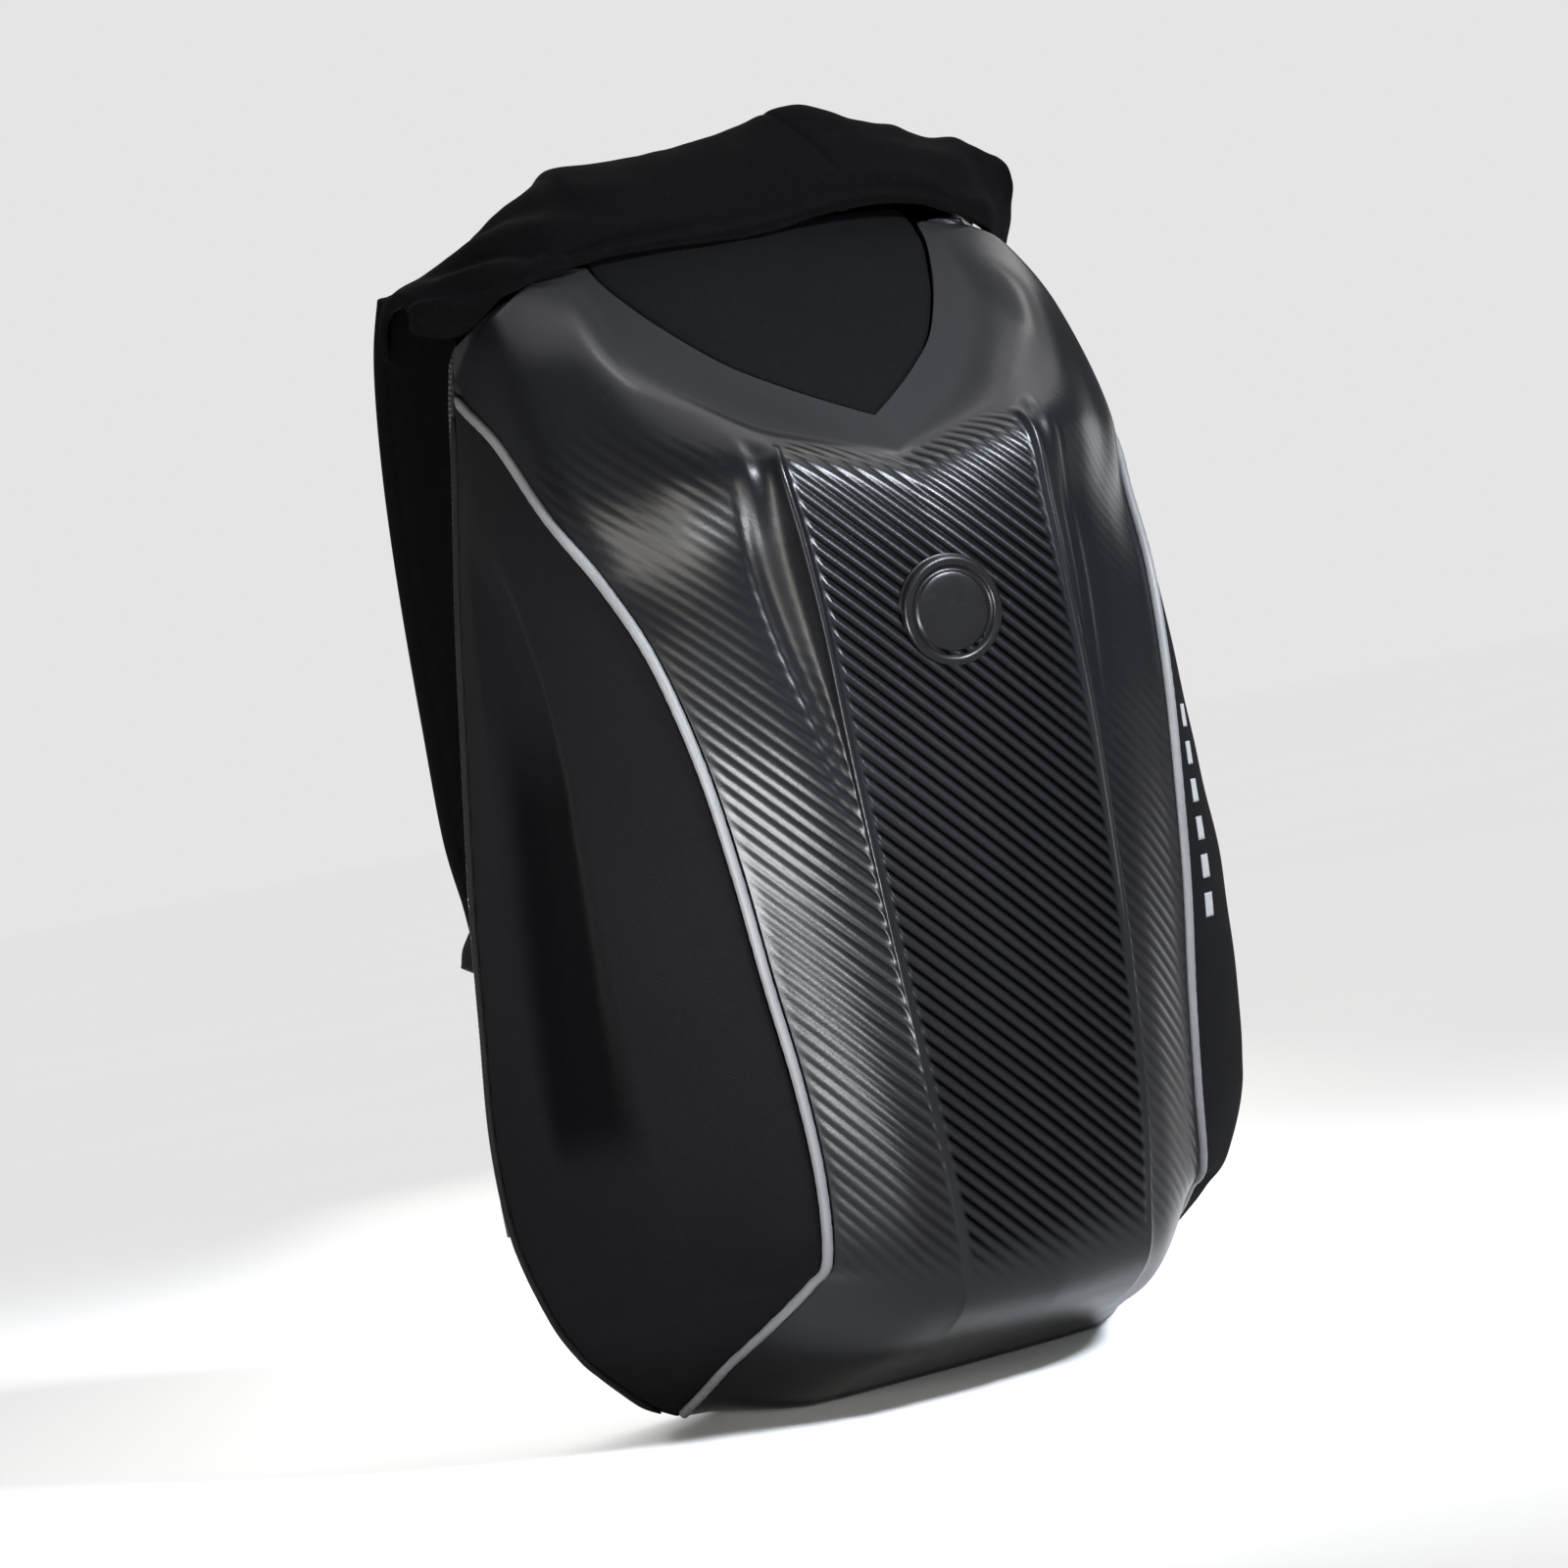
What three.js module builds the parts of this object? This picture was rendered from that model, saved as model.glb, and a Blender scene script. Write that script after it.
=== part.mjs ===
// A hard shell backpack, standing on its flat base with the shell to the front (-Y) and +Z up.
// All sizes are in millimetres. Each piece is worked out in the rim frame, where y = 0 is the plane in
// which the shell meets the soft back of the bag, and the whole bag is then moved by rimPlane.
import * as THREE from 'three';
import { mergeVertices } from 'three/addons/utils/BufferGeometryUtils.js';

// Driving sizes of the body
const halfWidth = 158;
const shellDepth = 143;
const foldHeight = 438;
const rimPlane = -9;

// Walls and clearances
const shellWall = 2.5;
const sideWall = 3;
const neopreneWall = 3;
const gussetWall = 2.5;
const fitGap = 0.35;

// The pointed opening for the neoprene shield, in its sloping plane, which runs down from the fold
const foldDepth = 42.5;
const openingLength = 105;
const openingHalfWidth = 70.5;
const openingSlope = 47.4 * Math.PI / 180;
const tipDepth = foldDepth + openingLength * Math.cos(openingSlope);
const tipHeight = foldHeight - openingLength * Math.sin(openingSlope);
const shieldGap = 1.4;
const shieldTuck = 8;
const shieldBow = 3;

// Piping, rim binding and badge
const pipingRadius = 2;
const pipingLift = 0.6;
const bindingRadius = 1.6;
const bindingTop = 392;
const bindingLeast = 103;
const beadSides = 8;
const badgeRadius = 20;
const badgeThickness = 3.5;
const badgeHeight = 284;
const badgeRim = 4.5;
const badgeBevel = 1;
const badgeSides = 40;

// Soft back: gusset, zip and padded back panel
const gussetDepth = 32;
const gussetTaper = 0.53;
const zipWidth = 9;
const zipThickness = 1.6;
const zipFront = 8;
const zipFoot = 80;
const sliderLength = 13;
const sliderThickness = 3.2;
const panelFront = 25;
const panelThickness = 14;
const panelRound = 6;
const panelEase = 0.3;

// Yoke over the top
const yokeHalfSpan = 136;
const yokeRise = 43;
const yokeDepth = foldDepth + gussetDepth - fitGap;

// Shoulder straps, their webbing and ladder buckles
const strapWidth = 64;
const strapEndWidth = 44;
const strapThickness = 12;
const strapRound = 3.5;
const strapOut = 98;
const strapBow = 44;
const strapTop = 446;
const strapEnd = 196;
const buckleWidth = 36;
const buckleHeight = 26;
const buckleThickness = 5;
const buckleSlot = 5;
const buckleBar = 3;
const webbingWidth = 25;
const webbingThickness = 1.6;
const webbingRound = 0.4;
const webbingFoot = 50;

// Sections of the body from the shield opening to the back of the base, as shares: x of halfWidth,
// y of shellDepth (forward is positive here) and z of foldHeight. The crease and bevel are the two lines
// beside the raised front panel, and the seam is the piping line.
const upperColumns = ['mid', 'crease', 'bevel', 'flank', 'shoulder', 'corner', 'seam'];
const upperRows = [
  // lip round the shield
  { mid: [0, 0.867, 0.796], crease: [0.241, 0.722, 0.834], bevel: [0.358, 0.622, 0.87],
    flank: [0.472, 0.475, 0.924], shoulder: [0.519, 0.294, 0.993], corner: [0.696, 0.294, 0.966],
    seam: [0.734, 0.012, 0.918] },
  // brow, where the slope turns to the front
  { mid: [0, 0.899, 0.782], crease: [0.294, 0.853, 0.816], bevel: [0.386, 0.783, 0.838],
    flank: [0.513, 0.664, 0.872], shoulder: [0.614, 0.524, 0.92], corner: [0.728, 0.434, 0.9],
    seam: [0.75, 0.28, 0.863] },
  // crest, the upper edge of the front panel
  { mid: [0, 0.93, 0.763], crease: [0.329, 0.94, 0.79], bevel: [0.402, 0.9, 0.792],
    flank: [0.532, 0.8, 0.799], shoulder: [0.637, 0.685, 0.803], corner: [0.722, 0.608, 0.797],
    seam: [0.749, 0.514, 0.788] },
];
// Further down, the surface from bevel to seam is x by even steps and y and z by steps ^ round.
const lowerColumns = ['midY', 'midZ', 'creaseX', 'creaseY', 'creaseZ', 'bevelX', 'bevelY', 'bevelZ',
  'seamX', 'seamY', 'seamZ', 'round'];
const lowerRows = [
  [0.966, 0.712, 0.323, 0.972, 0.726, 0.399, 0.892, 0.721, 0.7, 0.65, 0.724, 1.35],
  [0.986, 0.648, 0.32, 0.993, 0.653, 0.383, 0.92, 0.653, 0.658, 0.762, 0.655, 1.3],
  [0.997, 0.559, 0.318, 0.997, 0.559, 0.342, 0.969, 0.559, 0.617, 0.822, 0.564, 1.25],
  [0.999, 0.468, 0.31, 0.995, 0.468, 0.32, 0.986, 0.468, 0.585, 0.832, 0.473, 1.25],
  [0.997, 0.377, 0.299, 0.99, 0.377, 0.307, 0.983, 0.377, 0.557, 0.822, 0.381, 1.25],
  [0.99, 0.285, 0.285, 0.979, 0.285, 0.291, 0.974, 0.285, 0.522, 0.804, 0.29, 1.25],
  [0.972, 0.201, 0.269, 0.962, 0.203, 0.275, 0.957, 0.203, 0.503, 0.776, 0.21, 1.3],
  [0.941, 0.134, 0.253, 0.93, 0.139, 0.259, 0.923, 0.139, 0.503, 0.724, 0.144, 1.35],
  [0.888, 0.087, 0.247, 0.881, 0.091, 0.256, 0.874, 0.0925, 0.508, 0.629, 0.125, 1.4],
  [0.769, 0.059, 0.253, 0.755, 0.062, 0.266, 0.748, 0.063, 0.532, 0.503, 0.103, 1.6],
  [0.601, 0.04, 0.266, 0.587, 0.041, 0.285, 0.58, 0.0415, 0.557, 0.336, 0.078, 1.9],
  [0.406, 0.024, 0.285, 0.392, 0.024, 0.304, 0.385, 0.0242, 0.576, 0.168, 0.055, 2.2],
  [0.231, 0.008, 0.291, 0.224, 0.008, 0.316, 0.217, 0.008, 0.589, 0.035, 0.034, 2.5],
  [0.15, 0, 0.297, 0.143, 0, 0.329, 0.136, 0, 0.598, -0.063, 0.0194, 2.5],
  [-0.168, 0, 0.297, -0.168, 0, 0.329, -0.168, 0, 0.604, -0.168, 0.0046, 2.5],
];

const shoulderSteps = [0.28, 0.55, 0.8];

// The rim beside each section from the lip down, the side panel's bulge and the depth of its scoop,
// as shares: rimX, bulge and scoop of halfWidth, rimBack of gussetDepth, rimZ of foldHeight. The scoop lies
// behind a ridge, at shares of the way from seam to rim.
const sideColumns = ['rimX', 'rimBack', 'rimZ', 'bulge', 'scoop'];
const sideRows = [
  [0.734, 0, 0.916, 0, 0],
  [0.759, 0, 0.858, 0.018, 0],
  [0.797, 0, 0.783, 0.045, 0],
  [0.829, 0, 0.719, 0.066, 0.03],
  [0.859, 0, 0.651, 0.08, 0.055],
  [0.899, 0, 0.559, 0.088, 0.063],
  [0.937, 0, 0.468, 0.097, 0.063],
  [0.966, 0, 0.377, 0.11, 0.06],
  [0.995, 0, 0.279, 0.105, 0.036],
  [0.984, 0.06, 0.196, 0.088, 0],
  [0.918, 0.25, 0.123, 0.066, 0],
  [0.851, 0.41, 0.082, 0.05, 0],
  [0.801, 0.52, 0.062, 0.036, 0],
  [0.75, 0.59, 0.0434, 0.025, 0],
  [0.706, 0.66, 0.0285, 0.016, 0],
  [0.668, 0.7, 0.018, 0.009, 0],
  [0.636, 0.73, 0.0103, 0.004, 0],
  [0.608, 0.75, 0.0046, 0, 0],
];
const bulgeRound = 0.8;
const ridgeShare = 0.47;
const valleyShare = 0.62;
const valleyEnd = 0.68;
const scoopEnd = 0.97;

// The rim above the piping and below it, to the middle of the bag, as shares of halfWidth and foldHeight
const rimTop = [[0.715, 0.943], [0.665, 0.966], [0.57, 0.982], [0.443, 0.992], [0.2, 0.997], [0, 0.998]];
const rimBase = [[0.51, 0.0012], [0.38, 0], [0, 0]];
// Half width of the shield opening along its slope, as shares of its length and half width
const openingOutline = [[0, 0], [0.094, 0.18], [0.213, 0.383], [0.376, 0.611], [0.597, 0.804],
  [0.773, 0.915], [0.9, 0.98], [1, 1]];

// The soft yoke at stations from its left end to its right. x is a share of yokeHalfSpan, y of yokeDepth
// from the fold backwards, z of yokeRise above the fold.
const yokeColumns = ['x', 'hemY', 'hemZ', 'puffY', 'puffZ', 'browY', 'browZ', 'topY', 'topZ', 'backY',
  'backZ', 'tailY', 'tailZ'];
const yokeRows = [
  [-0.965, 0.5, -0.22, 0.47, -0.14, 0.49, -0.04, 0.62, 0.03, 0.82, -0.03, 0.92, -0.26],
  [-0.95, 0.42, -0.3, 0.39, -0.1, 0.42, 0.02, 0.6, 0.16, 0.87, 0.06, 0.97, -0.36],
  [-0.86, 0.3, -0.37, 0.24, -0.12, 0.3, 0.1, 0.6, 0.28, 0.9, 0.16, 0.993, -0.4],
  [-0.765, 0.06, -0.14, 0.07, 0.02, 0.22, 0.24, 0.6, 0.42, 0.9, 0.27, 0.993, -0.29],
  [-0.64, 0, -0.03, 0.02, 0.16, 0.2, 0.46, 0.6, 0.67, 0.9, 0.45, 0.993, -0.13],
  [-0.5, -0.05, 0.04, -0.03, 0.27, 0.21, 0.68, 0.6, 0.92, 0.9, 0.64, 0.993, -0.02],
  [-0.44, -0.05, 0.06, -0.04, 0.3, 0.22, 0.78, 0.6, 1.06, 0.9, 0.72, 0.993, 0.005],
  [-0.3, -0.05, 0.07, -0.04, 0.31, 0.23, 0.8, 0.6, 1.07, 0.9, 0.74, 0.993, 0.015],
  [0, -0.05, 0.08, -0.04, 0.34, 0.23, 0.82, 0.6, 1.12, 0.9, 0.78, 0.993, 0.015],
  [0.2, -0.05, 0.17, -0.045, 0.42, 0.22, 0.9, 0.6, 1.27, 0.9, 0.84, 0.993, 0.015],
  [0.36, -0.05, 0.21, -0.045, 0.44, 0.22, 0.93, 0.6, 1.37, 0.9, 0.88, 0.993, 0.005],
  [0.52, -0.04, 0.17, -0.04, 0.4, 0.21, 0.86, 0.6, 1.19, 0.9, 0.82, 0.993, -0.02],
  [0.64, -0.01, 0.06, 0, 0.3, 0.22, 0.76, 0.6, 1.08, 0.9, 0.76, 0.993, -0.13],
  [0.765, 0.06, -0.12, 0.07, 0.16, 0.26, 0.62, 0.6, 0.98, 0.9, 0.68, 0.993, -0.28],
  [0.86, 0.28, -0.32, 0.24, 0.04, 0.34, 0.54, 0.6, 0.88, 0.9, 0.62, 0.993, -0.36],
  [0.93, 0.4, -0.12, 0.36, 0.14, 0.4, 0.5, 0.6, 0.78, 0.88, 0.56, 0.97, -0.1],
  [0.985, 0.45, 0.24, 0.42, 0.38, 0.45, 0.52, 0.6, 0.68, 0.84, 0.52, 0.92, 0.3],
];

// Shoulder strap's middle line from the yoke to the ladder buckle: out as a share of strapOut, back as a
// share of strapBow behind the back panel, down as a share of the way from strapTop to strapEnd.
const strapRows = [
  { out: 0.95, back: -0.07, down: 0 },
  { out: 0.95, back: 0.3, down: 0.085 },
  { out: 0.96, back: 0.62, down: 0.25 },
  { out: 0.98, back: 0.84, down: 0.45 },
  { out: 1.02, back: 0.86, down: 0.65 },
  { out: 1.08, back: 0.67, down: 0.83 },
  { out: 1.115, back: 0.34, down: 0.94 },
  { out: 1.12, back: 0.27, down: 1 },
];

// Materials
const leather = { color: 0x16171a, roughness: 0.42, metalness: 0.0 };
const darkCloth = { color: 0x141518, roughness: 0.85, metalness: 0.0 };
const neoprene = { color: 0x0e0f11, roughness: 0.95, metalness: 0.0 };
const reflective = { color: 0x9a9b9c, roughness: 0.4, metalness: 0.1 };
const blackPlastic = { color: 0x101114, roughness: 0.3, metalness: 0.0 };

const pack = new THREE.Group();
pack.position.y = rimPlane;

function addPiece(name, geometry, look) {
  const piece = new THREE.Mesh(geometry, new THREE.MeshStandardMaterial(look));
  piece.name = name;
  pack.add(piece);
  return piece;
}

// One number list on a uniform Catmull-Rom spline through a list of number lists, t counted in rows
function splineAt(rows, t) {
  const last = rows.length - 1;
  const start = Math.min(Math.max(Math.floor(t), 0), last - 1);
  const f = t - start;
  const b = rows[start];
  const c = rows[start + 1];
  const a = start > 0 ? rows[start - 1] : b.map((v, k) => 2 * v - c[k]);
  const d = start < last - 1 ? rows[start + 2] : c.map((v, k) => 2 * v - b[k]);
  return b.map((v, k) => v + 0.5 * f * (c[k] - a[k]
    + f * (2 * a[k] - 5 * v + 4 * c[k] - d[k] + f * (3 * (v - c[k]) + d[k] - a[k]))));
}

// A value read off a table of [place, value] pairs by straight lines
function lookUp(table, place) {
  let k = 1;
  while (k < table.length - 1 && table[k][0] < place) {
    k += 1;
  }
  const share = (place - table[k - 1][0]) / (table[k][0] - table[k - 1][0]);
  return table[k - 1][1] + share * (table[k][1] - table[k - 1][1]);
}

function named(columns, row) {
  return Object.fromEntries(columns.map((name, k) => [name, row[k]]));
}

// A closed solid through sections with equal numbers of points. Each end is closed by strips between the
// first and the second half of its section, which suits both round sections and thin curved walls.
function loftSolid(sections, isRing = false) {
  const count = sections[0].length;
  const positions = sections.flat().flatMap((p) => [p.x, p.y, p.z]);
  const index = [];
  const quad = (a, b, c, d) => index.push(a, b, c, a, c, d);
  const spans = isRing ? sections.length : sections.length - 1;
  for (let i = 0; i < spans; i += 1) {
    const here = i * count;
    const next = ((i + 1) % sections.length) * count;
    for (let j = 0; j < count; j += 1) {
      const k = (j + 1) % count;
      quad(here + j, here + k, next + k, next + j);
    }
  }
  if (!isRing) {
    const far = (sections.length - 1) * count;
    for (let j = 0; j < count / 2 - 1; j += 1) {
      quad(count - 1 - j, count - 2 - j, j + 1, j);
      quad(far + j, far + j + 1, far + count - 2 - j, far + count - 1 - j);
    }
  }
  const geometry = new THREE.BufferGeometry();
  geometry.setAttribute('position', new THREE.Float32BufferAttribute(positions, 3));
  geometry.setIndex(index);
  if (volumeOf(geometry) < 0) {
    for (let k = 0; k < index.length; k += 3) {
      [index[k], index[k + 1]] = [index[k + 1], index[k]];
    }
    geometry.setIndex(index);
  }
  return mergeVertices(geometry, 1e-4);
}

function volumeOf(geometry) {
  const point = geometry.getAttribute('position');
  const index = geometry.getIndex();
  const corners = [new THREE.Vector3(), new THREE.Vector3(), new THREE.Vector3()];
  let volume = 0;
  for (let k = 0; k < index.count; k += 3) {
    corners.forEach((corner, n) => corner.fromBufferAttribute(point, index.getX(k + n)));
    volume += corners[0].dot(corners[1].clone().cross(corners[2])) / 6;
  }
  return volume;
}

// A wall of even thickness under a grid of outer points, whose rows run down and whose columns run to the
// right as seen from outside. settle(inner, outer, row, column) may put an inner point back into the
// plane of a neighbour.
function sheetSolid(grid, wall, settle = (inner) => inner) {
  const rows = grid.length;
  const columns = grid[0].length;
  const inwards = (i, j) => {
    const up = grid[Math.max(i - 1, 0)][j];
    const down = grid[Math.min(i + 1, rows - 1)][j];
    const left = grid[i][Math.max(j - 1, 0)];
    const right = grid[i][Math.min(j + 1, columns - 1)];
    return down.clone().sub(up).cross(right.clone().sub(left)).normalize();
  };
  const inner = grid.map((row, i) => row.map((p, j) => {
    const moved = p.clone().addScaledVector(inwards(i, j), -wall);
    return settle(moved, p, i, j);
  }));
  return loftSolid(grid.map((row, i) => [...row, ...inner[i].reverse()]));
}

// A section carried along a path of { at, side, face } stations: side is the section's first axis, face
// its second.
function sweepSolid(stations, outline) {
  return loftSolid(stations.map((station, k) => outline(k / (stations.length - 1)).map(
    ([a, b]) => station.at.clone().addScaledVector(station.side, a).addScaledVector(station.face, b),
  )));
}

function circleOutline(radius, sides) {
  return () => Array.from({ length: sides }, (unused, k) => {
    const angle = (k + 0.5) * 2 * Math.PI / sides;
    return [radius * Math.cos(angle), radius * Math.sin(angle)];
  });
}

function padOutline(widthAt, thickness, round) {
  return (share) => {
    const w = widthAt(share) / 2;
    const t = thickness / 2;
    return [[w, -t + round], [w, t - round], [w - round, t], [-w + round, t],
      [-w, t - round], [-w, -t + round], [-w + round, -t], [w - round, -t]];
  };
}

// Stations along points, with the side axis nearest to a wanted direction
function stationsAlong(points, wanted) {
  return points.map((at, k) => {
    const along = points[Math.min(k + 1, points.length - 1)].clone().sub(points[Math.max(k - 1, 0)]);
    along.normalize();
    const side = wanted.clone().addScaledVector(along, -wanted.dot(along)).normalize();
    return { at, side, face: along.cross(side) };
  });
}

function bodyPoint(share) {
  return [share[0] * halfWidth, -share[1] * shellDepth, share[2] * foldHeight];
}

// A point of the opening's edge: along from the tip, out from the middle, raised off the sloping plane
function onSlope(along, out, raised = 0) {
  return [
    out,
    -tipDepth + along * Math.cos(openingSlope) - raised * Math.sin(openingSlope),
    tipHeight + along * Math.sin(openingSlope) + raised * Math.cos(openingSlope),
  ];
}

// The body's control points. Each row has the seven columns from the middle to the seam.
const lastColumn = upperColumns.length - 1;
const slopeStops = [0, 0.213, 0.376, 0.66, 1];
const foldEnd = bodyPoint([0.74, 0.084, 0.957]);
const openingRow = [
  ...slopeStops.map((stop) => (
    onSlope(stop * openingLength, lookUp(openingOutline, stop) * openingHalfWidth)
  )),
  bodyPoint([0.658, 0.252, 0.982]),
  foldEnd,
];
const bodyRows = [
  openingRow,
  ...upperRows.map((row) => upperColumns.map((name) => bodyPoint(row[name]))),
  ...lowerRows.map((values) => {
    const row = named(lowerColumns, values);
    const bevel = [row.bevelX, row.bevelY, row.bevelZ];
    const seam = [row.seamX, row.seamY, row.seamZ];
    const between = shoulderSteps.map((step) => bevel.map((v, k) => {
      const share = k === 0 ? step : step ** row.round;
      return v + share * (seam[k] - v);
    }));
    return [[0, row.midY, row.midZ], [row.creaseX, row.creaseY, row.creaseZ], bevel, ...between, seam]
      .map(bodyPoint);
  }),
];
const rimRows = sideRows.map((values) => {
  const row = named(sideColumns, values);
  return [row.rimX * halfWidth, row.rimBack * gussetDepth, row.rimZ * foldHeight,
    row.bulge * halfWidth, row.scoop * halfWidth];
});

// A point of the shell: row counts sections from the opening, column control columns from the middle
function shellPoint(row, column) {
  const left = Math.min(Math.floor(column), lastColumn - 1);
  const share = column - left;
  const at = (k) => splineAt(bodyRows.map((points) => points[k]), row);
  const a = at(left);
  const b = at(left + 1);
  const point = a.map((v, k) => v + share * (b[k] - v));
  return [point[0], point[1], Math.max(point[2], 0)];
}

function seamPoint(row) {
  return new THREE.Vector3(...splineAt(bodyRows.map((points) => points[lastColumn]), row));
}

// Rises from 0 to 1 between two values, level at both
function smooth(from, to, value) {
  const t = Math.min(Math.max((value - from) / (to - from), 0), 1);
  return t * t * (3 - 2 * t);
}

// The way from the seam to the rim at a row, bulged outwards, with the scoop behind its ridge
function sidePoint(row, share) {
  const seam = seamPoint(row).toArray();
  const [rimX, rimY, rimZ, bulge, scoop] = splineAt(rimRows, row - 1);
  const rim = [rimX, rimY, rimZ];
  const across = Math.hypot(rim[0] - seam[0], rim[1] - seam[1]) || 1;
  const out = [(rim[1] - seam[1]) / across, (seam[0] - rim[0]) / across];
  const dip = scoop * smooth(ridgeShare, valleyShare, share) * (1 - smooth(valleyEnd, scoopEnd, share));
  const lift = bulge * Math.sin(Math.PI * share) ** bulgeRound - dip;
  return [
    seam[0] + share * (rim[0] - seam[0]) + lift * out[0],
    seam[1] + share * (rim[1] - seam[1]) + lift * out[1],
    seam[2] + share * (rim[2] - seam[2]),
  ];
}

function mirrored(point, side) {
  return new THREE.Vector3(side * point[0], point[1], point[2]);
}

// Values in even steps from one number to another
function steps(from, to, count) {
  return Array.from({ length: count + 1 }, (unused, k) => from + (to - from) * k / count);
}

const lastRow = bodyRows.length - 1;
const channel = pipingRadius + fitGap;

// How far an edge stays from the seam along its own row, so that it clears the bead
function channelAlong(row, point, other) {
  const along = seamPoint(row + 0.1).sub(seamPoint(row - 0.1)).normalize();
  const way = new THREE.Vector3(...other).sub(new THREE.Vector3(...point));
  return Math.min(channel / way.clone().normalize().cross(along).length(), mostOfTheWay * way.length());
}

// Rows of the net, closer where the body turns, as [from, to, number of steps]. The piping starts at the
// second of them.
const netSpans = [[0, 1.12, 3], [1.12, 4, 6], [4, 9, 8], [9, 15, 10], [15, lastRow, 4]];
const netRows = (spans) => spans.flatMap((span, k) => steps(...span).slice(k > 0 ? 1 : 0));
const sideRowStops = netRows(netSpans.slice(1));
const shellRowStops = netRows(netSpans);
const seamStart = sideRowStops[0];
const seamFade = 0.7;
const mostOfTheWay = 0.7;

// A point moved towards another by a length
function towards(point, other, length) {
  const gap = Math.hypot(...other.map((v, k) => v - point[k]));
  return point.map((v, k) => v + (other[k] - v) * length / gap);
}

// The shell ends short of the gusset at the base and short of the piping beside it
const baseBack = sideRows.at(-1)[1] * gussetDepth;
function shellRow(row) {
  const stops = [0, 0.5, 1, 2, 3, 4, 5, lastColumn];
  const points = stops.map((stop) => shellPoint(row, stop));
  const [beside, edge] = points.slice(-2);
  const margin = channelAlong(row, edge, beside) * smooth(seamFade, seamStart, row);
  points[points.length - 1] = towards(edge, beside, margin);
  const half = points.map(([x, y, z]) => [x, Math.min(y, baseBack - fitGap), z]);
  return [...half.slice(1).reverse().map((p) => mirrored(p, -1)), ...half.map((p) => mirrored(p, 1))];
}

function makeShell() {
  const grid = shellRowStops.map(shellRow);
  const last = grid.length - 1;
  const settle = (inner, outer, i) => {
    inner.y = i === last ? outer.y : Math.min(inner.y, baseBack - fitGap);
    return inner;
  };
  addPiece('shell', sheetSolid(grid, shellWall, settle), leather);
}

function makeSidePanel(name, side) {
  const shares = [0, 0.12, 0.25, 0.38, 0.47, 0.54, 0.62, 0.72, 0.85, 1];
  const grid = sideRowStops.slice(0, -1).map((row) => {
    const seam = sidePoint(row, 0);
    const rim = sidePoint(row, 1);
    const width = Math.hypot(...seam.map((v, k) => v - rim[k]));
    const first = channelAlong(row, seam, rim) / width;
    const points = shares.map((share) => sidePoint(row, first + share * (1 - first)));
    points.at(-1)[1] -= fitGap;
    const line = points.map((p) => mirrored(p, side));
    return side > 0 ? line : line.reverse();
  });
  const rimColumn = side > 0 ? shares.length - 1 : 0;
  const settle = (inner, outer, i, j) => {
    const rimY = grid[i][rimColumn].y;
    inner.y = j === rimColumn ? outer.y : Math.min(inner.y, rimY);
    return inner;
  };
  addPiece(name, sheetSolid(grid, sideWall, settle), darkCloth);
}

function makePiping(name, side) {
  const points = sideRowStops.slice(0, -1).map((row) => mirrored(seamPoint(row).toArray(), side));
  const stations = stationsAlong(points, new THREE.Vector3(side, -1, 0).normalize());
  stations.forEach((station) => station.at.addScaledVector(station.side, pipingLift));
  addPiece(name, sweepSolid(stations, circleOutline(pipingRadius, beadSides)), reflective);
}

// The neoprene shield fills the opening, bowed a little off its sloping plane
function makeShield() {
  const across = [-1, -0.75, -0.5, -0.25, 0, 0.25, 0.5, 0.75, 1];
  const stops = [0.016, 0.06, 0.12, 0.213, 0.294, 0.376, 0.47, 0.565, 0.66, 0.745, 0.83, 0.915, 1,
    1 + shieldTuck / openingLength];
  const edge = slopeStops.map((stop) => [stop, lookUp(openingOutline, stop)]);
  const grid = stops.map((stop) => {
    const half = Math.max(lookUp(edge, Math.min(stop, 1)) * openingHalfWidth - shieldGap, fitGap);
    return across.map((share) => {
      const bow = shieldBow * (1 - share * share) * Math.sin(Math.PI * Math.min(stop, 1) / 2);
      return new THREE.Vector3(...onSlope(stop * openingLength, share * half, bow));
    });
  });
  addPiece('shield_panel', sheetSolid(grid.reverse(), neopreneWall), neoprene);
}

// The yoke's section at each station, from its front hem over the top to its tail at the back
function yokeSection(values) {
  const row = named(yokeColumns, values);
  return ['hem', 'puff', 'brow', 'top', 'back', 'tail'].map((part) => [
    row.x * yokeHalfSpan,
    -foldDepth + row[part + 'Y'] * yokeDepth,
    foldHeight + row[part + 'Z'] * yokeRise,
  ]);
}
const yokeSections = yokeRows.map(yokeSection);
function yokePoint(station, along) {
  const lines = yokeSections[0].map((unused, k) => (
    splineAt(yokeSections.map((section) => section[k]), station)
  ));
  return splineAt(lines, along);
}
function makeYoke() {
  const stations = steps(0, yokeRows.length - 1, 26);
  const grid = steps(0, 5, 11).map((along) => (
    stations.map((station) => new THREE.Vector3(...yokePoint(station, along)))
  ));
  addPiece('yoke', sheetSolid(grid.reverse(), neopreneWall), neoprene);
}

// Half of the rim round the bag's back, from the middle of the base to the middle of the top
function rimHalf() {
  const sides = sideRowStops.slice(0, -1).map((row) => splineAt(rimRows, row - 1).slice(0, 3));
  const top = steps(0, rimTop.length - 1, 12).map((t) => splineAt(rimTop, t))
    .map(([x, z]) => [Math.max(x, 0) * halfWidth, 0, z * foldHeight]);
  const base = rimBase.map(([x, z]) => [x * halfWidth, baseBack, z * foldHeight]);
  return [...base.reverse(), ...sides.reverse(), ...top];
}

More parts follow.
